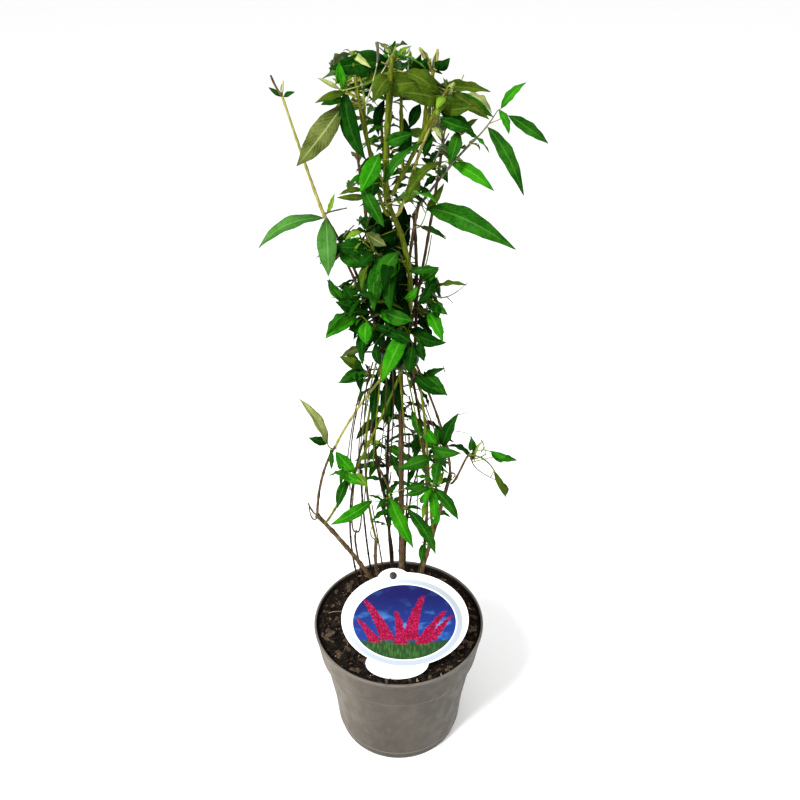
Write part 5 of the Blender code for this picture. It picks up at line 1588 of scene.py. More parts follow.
@dataclass(frozen=True)
class CardFinish:
    """A glossy printed card: a white edge, a silver ring, and a plain picture of plumes."""

    centre: tuple[float, float] = (0.0062, 0.0585)
    picture: tuple[float, float] = (0.0550, 0.0385)
    ring: tuple[float, float] = (0.0622, 0.0448)
    rim: float = 0.0012
    white: Colour = (0.84, 0.85, 0.86)
    silver: Colour = (0.30, 0.34, 0.38)
    sky: Colour = (0.008, 0.030, 0.19)
    high_sky: Colour = (0.005, 0.005, 0.070)
    cloud: Colour = (0.06, 0.26, 0.60)
    plume: Colour = (0.17, 0.000, 0.020)
    plume_light: Colour = (0.50, 0.010, 0.100)
    leaf: Colour = (0.012, 0.045, 0.012)
    leaf_light: Colour = (0.035, 0.105, 0.018)
    # Painted light on the silver ring: a lighter colour on the left and a shaded one low down.
    silver_lit_left: Colour = (0.50, 0.56, 0.60)
    silver_shaded_low: Colour = (0.36, 0.40, 0.46)
    plumes: tuple[tuple[float, float, float, float, float, float], ...] = (
        (-0.018, -0.020, -16.0, 0.044, 0.0092, -7.0),
        (-0.004, -0.024, 2.0, 0.036, 0.0080, -5.0),
        (0.006, -0.020, 4.0, 0.048, 0.0096, 5.0),
        (0.018, -0.024, 24.0, 0.036, 0.0084, 8.0),
        (0.027, -0.020, 34.0, 0.027, 0.0074, 9.0),
        (-0.030, -0.022, -30.0, 0.026, 0.0072, -9.0),
    )

    def inside(
        self, recipe: Recipe, place: Sequence[object], half: Sequence[float], soft: float = 0.01
    ) -> bpy.types.NodeSocket:
        """1 inside an oval round the picture's middle, 0 outside."""
        shares = (recipe.maths("DIVIDE", side, reach) for side, reach in zip(place, half))
        squares = (recipe.maths("MULTIPLY", share, share) for share in shares)
        across = recipe.maths("ADD", *squares)
        return recipe.span(across, 1.0 - soft, 1.0 + soft, 1.0, 0.0)

    def texture(
        self, recipe: Recipe, kind: str, place: object, scale: float, detail: float | None = None
    ) -> bpy.types.NodeSocket:
        """Noise or cells over the card, with so many patches to a metre."""
        inputs = {"Vector": place, "Scale": scale}
        if detail is not None:
            inputs["Detail"] = detail
        return recipe.step(kind, inputs).outputs[0]

    def plume_share(
        self, recipe: Recipe, x: object, y: object, row: tuple[float, ...], rag: object
    ) -> bpy.types.NodeSocket:
        """1 inside one arching plume that narrows to its top."""
        foot_x, foot_y, lean, length, half, bend = row
        side = math.tan(math.radians(lean))
        up = recipe.maths("SUBTRACT", y, foot_y)
        share = recipe.maths("DIVIDE", up, length)
        bow = recipe.maths("MULTIPLY", up, recipe.maths("MULTIPLY_ADD", up, bend, side))
        off = recipe.maths("SUBTRACT", recipe.maths("SUBTRACT", x, foot_x), bow)
        narrow = recipe.maths("MULTIPLY_ADD", share, -0.70 * half, half)
        ragged = recipe.maths("MULTIPLY_ADD", rag, 0.0070, recipe.maths("SUBTRACT", narrow, 0.0036))
        room = recipe.maths("SUBTRACT", ragged, recipe.maths("ABSOLUTE", off))
        within = recipe.span(room, 0.0, 0.0007)
        ends = recipe.maths("MULTIPLY", recipe.span(share, 0.0, 0.06),
                            recipe.span(share, 0.92, 1.0, 1.0, 0.0))
        return recipe.maths("MULTIPLY", within, ends)

    def material(self) -> bpy.types.Material:
        """The print reads the card's own map, which is in metres across and up its slope."""
        recipe = Recipe("printed card", self.white, 0.22)
        across, up = recipe.sheet_place()
        x = recipe.maths("SUBTRACT", across, self.centre[0])
        y = recipe.maths("SUBTRACT", up, self.centre[1])
        place = recipe.step("CombineXYZ", {0: x, 1: y}).outputs["Vector"]
        drift = recipe.step(
            "Mapping", {"Vector": place, "Scale": (38.0, 80.0, 1.0)}
        ).outputs["Vector"]
        clouds = self.texture(recipe, "TexNoise", drift, 1.0, 5.0)
        fine = self.texture(recipe, "TexNoise", place, 900.0, 3.0)
        rag = self.texture(recipe, "TexNoise", place, 420.0, 3.0)
        sky = recipe.mix(recipe.span(y, -0.02, 0.034), self.sky, self.high_sky)
        low = recipe.span(y, -0.010, 0.022, 1.0, 0.15)
        cloudy = recipe.maths("MULTIPLY", recipe.span(clouds, 0.50, 0.72), low)
        picture = recipe.mix(cloudy, sky, self.cloud)
        hedge = recipe.span(recipe.maths("MULTIPLY_ADD", rag, 0.020, y), -0.010, -0.008, 1.0, 0.0)
        blades = recipe.step(
            "Mapping", {"Vector": place, "Scale": (420.0, 130.0, 1.0), "Rotation": (0.0, 0.0, 0.6)}
        ).outputs["Vector"]
        blades = self.texture(recipe, "TexVoronoi", blades, 1.0)
        greens = recipe.mix(recipe.span(blades, 0.15, 0.6), self.leaf_light, self.leaf)
        picture = recipe.mix(hedge, picture, greens)
        florets = self.texture(recipe, "TexVoronoi", place, 560.0)
        florets = recipe.maths("MULTIPLY_ADD", fine, 0.35, florets)
        petals = recipe.mix(recipe.span(florets, 0.25, 0.75), self.plume_light, self.plume)
        for row in self.plumes:
            picture = recipe.mix(self.plume_share(recipe, x, y, row, rag), picture, petals)
        # Painted light: the silver ring is lighter towards the left, where the key lamp is, and
        # darker towards the bottom.
        silver_painted_light = recipe.mix(recipe.span(across, -0.05, 0.065), self.silver_lit_left, self.silver)
        silver_painted_light = recipe.mix(recipe.span(y, -0.040, 0.020), self.silver_shaded_low, silver_painted_light)
        printed = recipe.mix(self.inside(recipe, (x, y), self.ring, 0.012), self.white, silver_painted_light)
        rim = tuple(side + self.rim for side in self.picture)
        printed = recipe.mix(self.inside(recipe, (x, y), rim), printed, self.white)
        printed = recipe.mix(self.inside(recipe, (x, y), self.picture), printed, picture)
        fleck = recipe.grain(0.0011, 2.0)
        return recipe.finish(
            printed, recipe.relief(fleck, 0.00003, 0.3), recipe.span(fleck, 0.3, 0.7, 0.18, 0.30),
            Specular_IOR_Level=0.12,
        )


@dataclass
class PlantCard:
    """The oval picture card that leans over the compost, and the peg through its tab."""

    slope: float = 40.0
    foot: tuple[float, float] = (-0.083, 0.1478)
    middle: tuple[float, float] = (0.0068, 0.0617)
    half_size: tuple[float, float] = (0.068, 0.0487)
    thickness: float = 0.0008
    tab: tuple[float, float, float, float] = (-0.005, 0.1015, 0.0185, 0.0133)
    hole: Place = (-0.006, 0.1068, 0.0026)
    lobe: tuple[float, float, float, float] = (-0.0016, 0.0165, 0.033, 0.0160)
    peg_radius: float = 0.0021
    peg_head: tuple[float, float] = (0.0040, 0.0015)
    peg_length: float = 0.012
    gap: float = 0.0003
    finish: CardFinish = CardFinish()
    peg_finish: MouldedFinish = MouldedFinish(
        "dark peg", (0.012, 0.012, 0.011), (0.024, 0.023, 0.021), (0.05, 0.048, 0.043), 0.38,
        0.0004,
    )

    def on_slope(self, flat: Vector) -> Vector:
        """A point of the card's plane: across, up the slope, and off its face."""
        slope = math.radians(self.slope)
        return Vector((
            flat.x,
            self.foot[0] + flat.y * math.cos(slope) - flat.z * math.sin(slope),
            self.foot[1] + flat.y * math.sin(slope) + flat.z * math.cos(slope),
        ))

    def oval(
        self, across: float, up: float, half: Sequence[float], deep: float
    ) -> bpy.types.Object:
        """An oval slab flat about its place on the card."""
        bm = bmesh.new()
        bmesh.ops.create_cone(bm, cap_ends=True, segments=128, radius1=1, radius2=1, depth=deep)
        bmesh.ops.scale(bm, verts=bm.verts, vec=(*half, 1.0))
        bmesh.ops.translate(bm, verts=bm.verts, vec=(across, up, self.thickness / 2))
        return add_mesh_object("card_part", bm)

    def build_card(self) -> bpy.types.Object:
        """Joins the ovals, cuts the hole, maps the face and leans the card."""
        card = self.oval(*self.middle, self.half_size, self.thickness)
        tab = self.oval(*self.tab[:2], self.tab[2:], self.thickness)
        lobe = self.oval(*self.lobe[:2], self.lobe[2:], self.thickness)
        hole = self.oval(*self.hole[:2], (self.hole[2], self.hole[2]), self.peg_length)
        mesh = combine(card, (tab, "UNION"), (lobe, "UNION"), (hole, "DIFFERENCE"))
        bpy.data.objects.remove(card)
        bm = bmesh.new()
        bm.from_mesh(mesh)
        bmesh.ops.remove_doubles(bm, verts=bm.verts, dist=1e-6)
        bmesh.ops.triangulate(bm, faces=bm.faces)
        layer = bm.loops.layers.uv.verify()
        for face in bm.faces:
            for loop in face.loops:
                loop[layer].uv = loop.vert.co.xy
        for vert in bm.verts:
            vert.co = self.on_slope(vert.co)
        bmesh.ops.recalc_face_normals(bm, faces=bm.faces)
        card = add_mesh_object("card_sheet", bm)
        return dress(card, [self.finish.material()], "card", ["card"])

    def build_peg(self) -> bpy.types.Object:
        """The peg that pins the tab down, with a domed head."""
        head, high = self.peg_head
        top = self.thickness + self.gap
        profile = rounded((
            (0.0, -self.peg_length, 0.0),
            (self.peg_radius * 0.5, -self.peg_length, 0.0004),
            (self.peg_radius, self.peg_radius - self.peg_length, 0.0005),
            (self.peg_radius, top, 0.0003),
            (head, top, 0.0003),
            (head, top + high * 0.55, 0.0007),
            (head * 0.35, self.thickness + high, 0.0008),
            (0.0, self.thickness + high, 0.0),
        ))
        bm = spun(profile, 40)
        for vert in bm.verts:
            vert.co = self.on_slope(vert.co + Vector((*self.hole[:2], 0.0)))
        bmesh.ops.recalc_face_normals(bm, faces=bm.faces)
        peg = add_mesh_object("peg_pin", bm)
        return dress(peg, [self.peg_finish.material()], "peg", ["peg"])


BARKS: dict[Wood, BarkFinish] = {
    Wood.BROWN: BarkFinish(
        "brown bark", (0.0429, 0.0252, 0.0104), (0.1221, 0.0777, 0.037), (0.1998, 0.148, 0.0851),
    ),
    Wood.DARK: BarkFinish(
        "dark bark", (0.0133, 0.0081, 0.0037), (0.0444, 0.0266, 0.0133), (0.074, 0.0518, 0.0281),
    ),
    Wood.STRAW: BarkFinish(
        "straw bark", (0.185, 0.1739, 0.0296), (0.3404, 0.3256, 0.0962), (0.148, 0.0962, 0.0222),
        0.5,
    ),
    Wood.OLIVE: BarkFinish(
        "olive bark", (0.052, 0.072, 0.002), (0.125, 0.158, 0.011), (0.080, 0.062, 0.010), 0.5,
    ),
    Wood.GREEN: BarkFinish(
        "green shoot", (0.0962, 0.1554, 0.0111), (0.1924, 0.2664, 0.0333),
        (0.1554, 0.1406, 0.0296), 0.48,
    ),
    Wood.GREY: BarkFinish(
        "grey bark", (0.0555, 0.0533, 0.0333), (0.148, 0.1406, 0.0999), (0.0407, 0.0296, 0.0163),
    ),
    Wood.PALE: BarkFinish(
        "pale bud", (0.3108, 0.3182, 0.1628), (0.4588, 0.4588, 0.296), (0.222, 0.1998, 0.0962), 0.6,
    ),
}

class Palette:
    """Deals out slot numbers to the finishes that a piece uses, in the order of first use."""

    def __init__(self) -> None:
        """Starts with no finish."""
        self.used: list[Enum] = []

    def slot(self, choice: Enum) -> int:
        """The slot number of a finish."""
        if choice not in self.used:
            self.used.append(choice)
        return self.used.index(choice)


@dataclass
class StemSet:
    """Trunk, stems and boughs with bark, swollen nodes and a flare at the foot."""

    name: str
    slot: str
    limbs: tuple[str, ...]
    skeleton: Skeleton
    step: float = 0.0022
    sides: int = 14
    flare: float = 0.6
    flare_height: float = 0.007
    knot: float = 0.22
    knot_length: float = 0.004
    node_gap: float = 0.029
    node_swell: float = 0.24
    node_length: float = 0.0022
    rough: float = 0.16

    def radius(self, name: str, share: float, length: float, shift: float) -> float:
        """The radius of a limb with its flare, its knot and its nodes.

        Args:
            name: The limb.
            share: The share of the way up it.
            length: Its length.
            shift: Where its first node is.

        Returns:
            The radius in metres.
        """
        limb = LIMBS[name]
        radius = self.skeleton.radius(name, share)
        along = share * length
        if isinstance(limb.root, Foot):
            radius *= 1 + self.flare * math.exp(-along / self.flare_height)
        if not isinstance(limb.end, Tie):
            radius *= 1 + self.knot * math.exp(-(((length - along) / self.knot_length) ** 2))
        off = (along - shift) % self.node_gap
        off = min(off, self.node_gap - off)
        return radius * (1 + self.node_swell * math.exp(-((off / self.node_length) ** 2)))

    def tube(self, name: str, slot: int) -> Tube:
        """The bark of one limb, with its straight stretches inside the band."""
        path = self.skeleton.path(name)
        curve = Cubic(path.points)
        length = curve.length()
        draw = random.Random(name)
        shift = draw.uniform(0.004, self.node_gap)
        shares = shares_of(max(6, round(length / self.step)))
        axes = [curve.axis(share) for share in shares]
        axes[0], axes[-1] = path.foot_axis, path.end_axis
        radii = [self.radius(name, share, length, shift) for share in shares]
        return Tube(
            [*path.before, *(curve.at(share) for share in shares), *path.after],
            [UP] * len(path.before) + axes + [UP] * len(path.after),
            radii[:1] * len(path.before) + radii + radii[-1:] * len(path.after),
            self.sides, slot, self.rough,
        )

    def build(self) -> bpy.types.Object:
        """Builds and dresses the stems.

        Returns:
            The stems as one piece.
        """
        bm = bmesh.new()
        palette = Palette()
        for name in self.limbs:
            self.tube(name, palette.slot(LIMBS[name].wood)).add_to(bm)
        finishes = [BARKS[wood].material() for wood in palette.used]
        return dress(add_mesh_object(self.name, bm), finishes, self.slot, self.limbs)


@dataclass
class BareTwigs:
    """The thin dark threads among the stems, small bare twigs, and cut stubs."""

    skeleton: Skeleton
    step: float = 0.003
    sides: int = 7
    sunk_foot: float = 0.1445
    node_step: int = 9
    first_node: int = 5
    node_swell: float = 1.25
    rough: float = 0.2

    def curve(self, twig: BareTwig) -> Cubic:
        """The middle line of a twig, from the compost or from another stem."""
        if isinstance(twig.root, Foot):
            start = Vector((twig.root.x * MM, twig.root.y * MM, self.sunk_foot))
        else:
            start = metres((twig.root.x, twig.root.y, twig.root.z))
        return curve_through(start, metres(twig.through), metres(twig.end))

    def build(self) -> bpy.types.Object:
        """Builds and dresses the bare twigs."""
        bm = bmesh.new()
        palette = Palette()
        for twig in BARE_TWIGS:
            curve = self.curve(twig)
            shares = shares_of(max(4, round(curve.length() / self.step)))
            radii = [
                (twig.thick * MM + (twig.thin * MM - twig.thick * MM) * share)
                * (self.node_swell if step % self.node_step == self.first_node else 1.0)
                for step, share in enumerate(shares)
            ]
            slot = palette.slot(twig.wood)
            tube_along(curve, radii, self.sides, slot, self.rough).add_to(bm)
        finishes = [BARKS[wood].material() for wood in palette.used]
        return dress(add_mesh_object("bare_twigs", bm), finishes, "young wood", [])


UPPER_FACES: dict[Tone, LeafFinish] = {
    # Dark, mid and bright are partly the leaves' own greens and partly painted light and shade.
    Tone.DARK: LeafFinish(
        "dark leaf", (0.0008, 0.021, 0.0005), (0.0070, 0.060, 0.0020), (0.026, 0.100, 0.010),
    ),
    Tone.MID: LeafFinish(
        "mid leaf", (0.0028, 0.046, 0.0008), (0.018, 0.112, 0.0040), (0.060, 0.190, 0.024),
    ),
    Tone.BRIGHT: LeafFinish(
        "bright leaf", (0.008, 0.130, 0.0008), (0.030, 0.225, 0.0030), (0.100, 0.330, 0.026),
    ),
    Tone.FRESH: LeafFinish(
        "fresh leaf", (0.074, 0.1702, 0.0054), (0.148, 0.2812, 0.0220), (0.2442, 0.3552, 0.070),
    ),
    Tone.OLIVE: LeafFinish(
        "olive leaf", (0.022, 0.050, 0.002), (0.062, 0.112, 0.006), (0.130, 0.160, 0.030),
    ),
    Tone.PALE: LeafFinish(
        "pale leaf", (0.210, 0.260, 0.060), (0.370, 0.420, 0.140), (0.520, 0.550, 0.270),
    ),
    # Painted sheen: the soft tone is a green with the sheen of light painted in.
    Tone.SOFT: LeafFinish(
        "soft leaf", (0.028, 0.125, 0.0130), (0.066, 0.190, 0.0340), (0.130, 0.270, 0.070),
    ),
    Tone.FELT: LeafFinish(
        "felted leaf", (0.042, 0.062, 0.007), (0.110, 0.140, 0.030), (0.330, 0.370, 0.150),
    ),
    # Painted shade: the deep tone darkens the leaves inside the bush, where shade falls.
    Tone.PAINTED_SHADE: LeafFinish(
        "deep leaf", (0.0005, 0.0100, 0.0003), (0.0028, 0.027, 0.0010), (0.0110, 0.0480, 0.0045),
    ),
}

FELT = ((0.45, (0.0888, 0.1147, 0.0259)), (0.50, (0.1406, 0.1702, 0.0518)),
        (0.65, (0.296, 0.3108, 0.1258)))


def felted(colour: Colour, share: float, felt: Colour) -> Colour:
    """A colour of the upper face with a share of felt over it."""
    return tuple((1 - share) * side + share * hair for side, hair in zip(colour, felt))


UNDER_FACES: dict[Tone, LeafFinish] = {
    tone: LeafFinish(
        finish.name.replace("leaf", "underside"),
        *(felted(colour, *felt)
          for colour, felt in zip((finish.base, finish.light, finish.vein), FELT)),
        0.62, 0.0003, 0.04,
    )
    for tone, finish in UPPER_FACES.items()
}


@dataclass(frozen=True)
class Leaf:
    """One leaf as it is modelled: where it starts, how it lies, and how it bends."""

    start: Vector
    along: Vector
    across: Vector
    face: Vector
    length: float
    width: float
    tone: Tone
    arch: float
    fold: float
    sway: float
    twist: float
    wave: float
    phase: float
    curl: float
    ragged: float = 0.06
    stalk: float = 0.07
    cells: tuple[int, int] = (14, 4)
    small_cells: tuple[int, int] = (6, 2)
    small: float = 0.017

    def half_width(self, share: float) -> float:
        """Half the width at a share of the length: a short stalk, a broad middle, a long tip."""
        swell = max(0.0, math.sin(math.pi * min(1.0, share) ** 0.84)) ** 0.92
        swell *= 1 + self.ragged * math.sin(math.tau * (3.7 * share + self.phase))
        stalk = min(1.0, share / self.stalk)
        return self.width / 2 * max(0.035, swell * stalk)

    def middle(self, share: float) -> Vector:
        """The bent midrib at a share of the length."""
        bow = 4 * share * (1 - share) * self.length
        place = self.start + self.along * (self.length * share)
        place += self.face * (self.arch * bow - self.curl * self.length * share**3)
        return place + self.across * (self.sway * bow)

    def add_to(self, bm: bmesh.types.BMesh, slot: int) -> None:
        """Bends a flat grid into the leaf. Its map runs along and across it.

        Args:
            bm: The mesh that takes the leaf.
            slot: The number of its finish.
        """
        cells = self.cells if self.length > self.small else self.small_cells
        grid = bmesh.ops.create_grid(
            bm, x_segments=cells[0], y_segments=cells[1], size=1.0, calc_uvs=True
        )
        for vert in grid["verts"]:
            share, side = (vert.co.x + 1) / 2, vert.co.y
            half = self.half_width(share)
            turn = self.twist * (share - 0.3)
            across = self.across * math.cos(turn) + self.face * math.sin(turn)
            face = self.face * math.cos(turn) - self.across * math.sin(turn)
            ripple = math.sin(math.tau * (3.2 * share + self.phase) + 1.7 * side)
            lift = abs(side) * self.fold * half + side * side * self.wave * half * ripple
            vert.co = self.middle(share) + across * (half * side) + face * lift
        for face in {face for vert in grid["verts"] for face in vert.link_faces}:
            face.smooth = True
            face.material_index = slot


def leaf_from(blade: Blade, start: Vector, draw: random.Random) -> Leaf:
    """A leaf from a row of the table, in metres, with its own small bends.

    Args:
        blade: The row, in millimetres and degrees.
        start: Where its stalk starts.
        draw: The seeded numbers for its bends.

    Returns:
        The leaf.
    """
    level = bearing_vector(blade.towards)
    rise, roll = math.radians(blade.rise), math.radians(blade.roll)
    along = level * math.cos(rise) + UP * math.sin(rise)
    upper = UP * math.cos(rise) - level * math.sin(rise)
    side = Vector((-level.y, level.x, 0))
    return Leaf(
        start, along, side * math.cos(roll) + upper * math.sin(roll),
        upper * math.cos(roll) - side * math.sin(roll), blade.length * MM, blade.width * MM,
        blade.tone, draw.uniform(0.05, 0.15), draw.uniform(0.14, 0.50), draw.uniform(-0.06, 0.06),
        draw.uniform(-0.55, 0.55), draw.uniform(0.12, 0.32), draw.random(),
        draw.uniform(-0.03, 0.14),
    )


SHOWN_LIMBS = ("centre_leader", "right_leader", "low_left_shoot", "main_stem")
SHOWN_TWIGS = (
    "crown_cut_centre", "crown_cut_left", "crown_cut_right", "crown_pair_stem", "crown_mid_stem",
    "tie_fan_olive", "tie_fan_straw", "tie_fan_green", "tie_fan_right", "tie_fan_outer",
)


@dataclass
class Sight:
    """What the grown leaves leave free in the picture: the sky's gaps and the stems in front."""

    skeleton: Skeleton
    view: Viewpoint = Viewpoint()
    margin: float = 1.0
    steps: int = 24
    mark_height: float = 4.0
    samples: tuple[float, ...] = (0.08, 0.3, 0.5, 0.7, 0.88, 1.0)
    marks: list[tuple[float, float, float, float]] = field(default_factory=list)

    def __post_init__(self) -> None:
        """Marks where the shown stems run."""
        for name in SHOWN_LIMBS:
            self.mark(Cubic(self.skeleton.path(name).points), self.skeleton.radius(name, 0.5))
        twigs = BareTwigs(self.skeleton)
        for twig in BARE_TWIGS:
            if twig.name in SHOWN_TWIGS:
                self.mark(twigs.curve(twig), twig.thick * MM)

    def mark(self, curve: Cubic, radius: float) -> None:
        """Marks a stem's places in the picture, with its reach and its distance."""
        for share in shares_of(self.steps):
            across, down, far = self.view.see(curve.at(share))
            self.marks.append((across, down, radius * self.view.scale(far) + self.margin, far))

    def hides(self, across: float, down: float, far: float) -> bool:
        """Whether a point of the picture falls in a gap of the sky or before a shown stem."""
        return any(
            left + self.margin < across < right - self.margin
            and top + self.margin < down < low - self.margin
            for left, top, right, low in SKY_GAPS
        ) or any(
            far < depth and abs(across - place) < reach and abs(down - height) < self.mark_height
            for place, height, reach, depth in self.marks
        )

    def clear(self, leaf: Leaf) -> bool:
        """Whether a leaf keeps off the sky's gaps and doesn't hide a shown stem."""
        for share in self.samples:
            half = leaf.half_width(share) * 0.8
            for side in (-half, 0.0, half):
                if self.hides(*self.view.see(leaf.middle(share) + leaf.across * side)):
                    return False
        return True


@dataclass(frozen=True)
class Infill:
    """Small leafy side shoots along a stretch of a limb, which fill the inside of the bush."""

    limb: str
    low: float
    high: float
    pairs: int
    leaf: float
    stalk: float = 6.0
    droop: float = 32.0


@dataclass
class Foliage:
    """One storey of the bush: its sprays with all their leaves, tufts and twigs."""

    storey: str
    spray_names: tuple[str, ...]
    infills: tuple[Infill, ...]
    tones: dict[Tone, float]
    skeleton: Skeleton
    sight: Sight
    shoot_wood: Wood = Wood.OLIVE
    opening: float = 58.0
    droop: float = 32.0
    scatter: float = 18.0
    roll: float = 25.0
    width_share: float = 0.27
    wide_share: float = 0.30
    side_rise: float = 25.0
    green_share: float = 0.4
    side_radius: float = 0.00042
    felt_depth: float = 0.00026
    longest_stalk: float = 0.018
    tufts: tuple[tuple[float, float, int], ...] = ((0.3, 9.0, 3), (0.62, 9.0, 3), (1.0, 11.0, 4))
    side_tuft: tuple[float, int] = (7.0, 2)
    side_tuft_share: float = 0.45
    finer_gap: float = 0.013
    finer_skip: float = 0.25
    shoot_step: float = 0.0035
    shoot_sides: int = 9
    narrowing: float = 0.45
    node_swell: float = 1.22
    node_step: int = 5
    first_node: int = 3
    rough: float = 0.10
    leaf_mesh: bmesh.types.BMesh = field(default_factory=bmesh.new)
    twig_mesh: bmesh.types.BMesh = field(default_factory=bmesh.new)
    leaf_tones: Palette = field(default_factory=Palette)
    twig_woods: Palette = field(default_factory=Palette)
    count: int = 0
    tufted: bool = True

    def tone(self, draw: random.Random) -> Tone:
        """A tone by this storey's shares."""
        return draw.choices(list(self.tones), list(self.tones.values()))[0]

    def add_leaf(self, leaf: Leaf) -> None:
        """Adds one leaf."""
        leaf.add_to(self.leaf_mesh, self.leaf_tones.slot(leaf.tone))
        self.count += 1

    def add_twig(self, start: Vector, end: Vector, thick: float) -> None:
        """Adds a thin straight stalk."""
        axis, thin = (end - start).normalized(), self.side_radius
        Tube(
            [start, start.lerp(end, 0.5), end], [axis] * 3, [thick, (thick + thin) / 2, thin], 6,
            self.twig_woods.slot(self.shoot_wood),
        ).add_to(self.twig_mesh)

    def add_blade(
        self, blade: Blade, foot: Vector, radius: float, draw: random.Random, leading: bool = False
    ) -> None:
        """Adds a leaf of the table or the rule, with its side twig.

        Args:
            blade: The leaf's row.
            foot: The middle of the shoot where it grows.
            radius: The shoot's radius there.
            draw: The seeded numbers.
            leading: Whether it's a leaf of the table, which stands where it is set.
        """
        level = bearing_vector(blade.towards)
        rise = math.radians(self.side_rise)
        start = foot + (level * math.cos(rise) + UP * math.sin(rise)) * blade.out * MM
        leaf = leaf_from(blade, start, draw)
        if blade.out <= 1.0:
            leaf = leaf_from(blade, start + leaf.along * radius * 0.7, draw)
        if not leading and not self.sight.clear(leaf):
            return
        self.add_leaf(leaf)
        if blade.out > 1.0:
            self.add_twig(foot, start, self.side_radius * 1.3)
            if self.tufted and draw.random() < self.side_tuft_share:
                size, leaves = self.side_tuft
                self.add_tuft(start, (start - foot).normalized(), size, draw, leaves)

    def add_tuft(
        self, place: Vector, axis: Vector, size: float, draw: random.Random, leaves: int
    ) -> None:
        """Adds a few tiny young leaves at a node or a tip.

        Args:
            place: The node.
            axis: The direction that the tuft grows in.
            size: The length of its longest leaf in millimetres.
            draw: The seeded numbers.
            leaves: How many it has.
        """
        first = draw.uniform(0, math.tau)
        across = axis.orthogonal().normalized()
        other = axis.cross(across)
        for number in range(leaves):
            turn = first + math.tau * number / leaves + draw.uniform(-0.4, 0.4)
            away = across * math.cos(turn) + other * math.sin(turn)
            open_angle = math.radians(draw.uniform(22, 60))
            aim = axis * math.cos(open_angle) + away * math.sin(open_angle)
            length = size * draw.uniform(0.55, 1.0)
            tone = draw.choice((Tone.FRESH, Tone.BRIGHT, Tone.MID, self.tone(draw)))
            blade = Blade(
                0, 0, *bearings(aim), length, length * draw.uniform(0.22, 0.32),
                draw.uniform(-30, 30), tone,
            )
            leaf = leaf_from(blade, place, draw)
            if self.sight.clear(leaf):
                self.add_leaf(leaf)

    def rule_blades(self, name: str, spray: Spray) -> Iterator[Blade]:
        """Opposite pairs up a shoot, each pair a quarter turn from the last, smaller to the tip.

        Args:
            name: The spray's name, which seeds it.
            spray: The spray's row.

        Yields:
            Each leaf.
        """
        draw = random.Random(name)
        tones = random.Random(name + " tones")
        curve = self.skeleton.shoot(spray)
        first_turn = draw.uniform(0, 180)
        for pair in range(spray.pairs):
            up = min(1.0, (pair + 0.85) / spray.pairs)
            axis = curve.axis(up)
            for half in PAIR:
                scatter = draw.uniform(-self.scatter, self.scatter)
                aim = self.aim(axis, math.radians(first_turn + NEXT_PAIR * pair + half + scatter))
                towards, rise = bearings(aim)
                length = spray.leaf * draw.uniform(0.8, 1.2) * (1.1 - 0.4 * up)
                yield Blade(
                    up, max(0.0, draw.uniform(-0.3, 0.4)) * spray.leaf, towards,
                    rise - self.droop * draw.uniform(0.6, 1.6), length,
                    length * self.wide_share * draw.uniform(0.9, 1.1),
                    draw.uniform(-self.roll, self.roll), self.tone(tones),
                )

    def aim(self, axis: Vector, turn: float) -> Vector:
        """The direction that a leaf leaves its shoot in."""
        across = axis.orthogonal().normalized()
        away = across * math.cos(turn) + axis.cross(across) * math.sin(turn)
        opening = math.radians(self.opening)
        return axis * math.cos(opening) + away * math.sin(opening)

    def finer_pairs(self, name: str, spray: Spray, curve: Cubic) -> Iterator[Blade]:
        """Smaller pairs between those of the rule, on the same shoot and within its reach."""
        draw = random.Random(name + " finer")
        first_turn = draw.uniform(0, 180)
        pairs = max(2, round(curve.length() / self.finer_gap))
        for pair in range(pairs):
            up = (pair + 0.5) / pairs
            axis = curve.axis(up)
            for half in PAIR:
                if draw.random() < self.finer_skip:
                    continue
                turn = first_turn + NEXT_PAIR * pair + half + draw.gauss(0, 9)
                towards, rise = bearings(self.aim(axis, math.radians(turn)))
                length = spray.leaf * draw.uniform(0.32, 0.62) * (1.05 - 0.45 * up)
                yield Blade(
                    up, 0.0, towards, rise - self.droop * draw.uniform(0.1, 1.3), length,
                    length * self.width_share * draw.uniform(0.85, 1.1),
                    draw.uniform(-self.roll, self.roll), self.tone(draw),
                )

    def grow_spray(self, name: str) -> None:
        """Grows one spray: its shoot, its leading leaves, the rule's pairs and the finer ones."""
        spray = SPRAYS[name]
        curve = self.skeleton.shoot(spray)
        draw = random.Random(name + " bends")
        thick = spray.thick * MM * spray.stoutness
        shares = shares_of(max(5, round(curve.length() / self.shoot_step)))
        radii = [
            thick * (1 - self.narrowing * share)
            * (self.node_swell if step % self.node_step == self.first_node else 1.0)
            for step, share in enumerate(shares)
        ]
        wood = self.shoot_wood if draw.random() < 1 - self.green_share else Wood.GREEN
        slot = self.twig_woods.slot(spray.wood or wood)
        tube_along(curve, radii, self.shoot_sides, slot, self.rough).add_to(self.twig_mesh)
        self.tufted = not spray.bare
        blades = [(blade, True) for blade in spray.leads]
        if self.tufted:
            grown = (*self.rule_blades(name, spray), *self.finer_pairs(name, spray, curve))
            blades += [(blade, False) for blade in grown]
        for blade, leading in blades:
            radius = thick * (1 - self.narrowing * blade.up)
            self.add_blade(blade, curve.at(blade.up), radius, draw, leading)
        if self.tufted:
            for share, size, leaves in self.tufts:
                self.add_tuft(curve.at(share), curve.axis(share), size, draw, leaves)

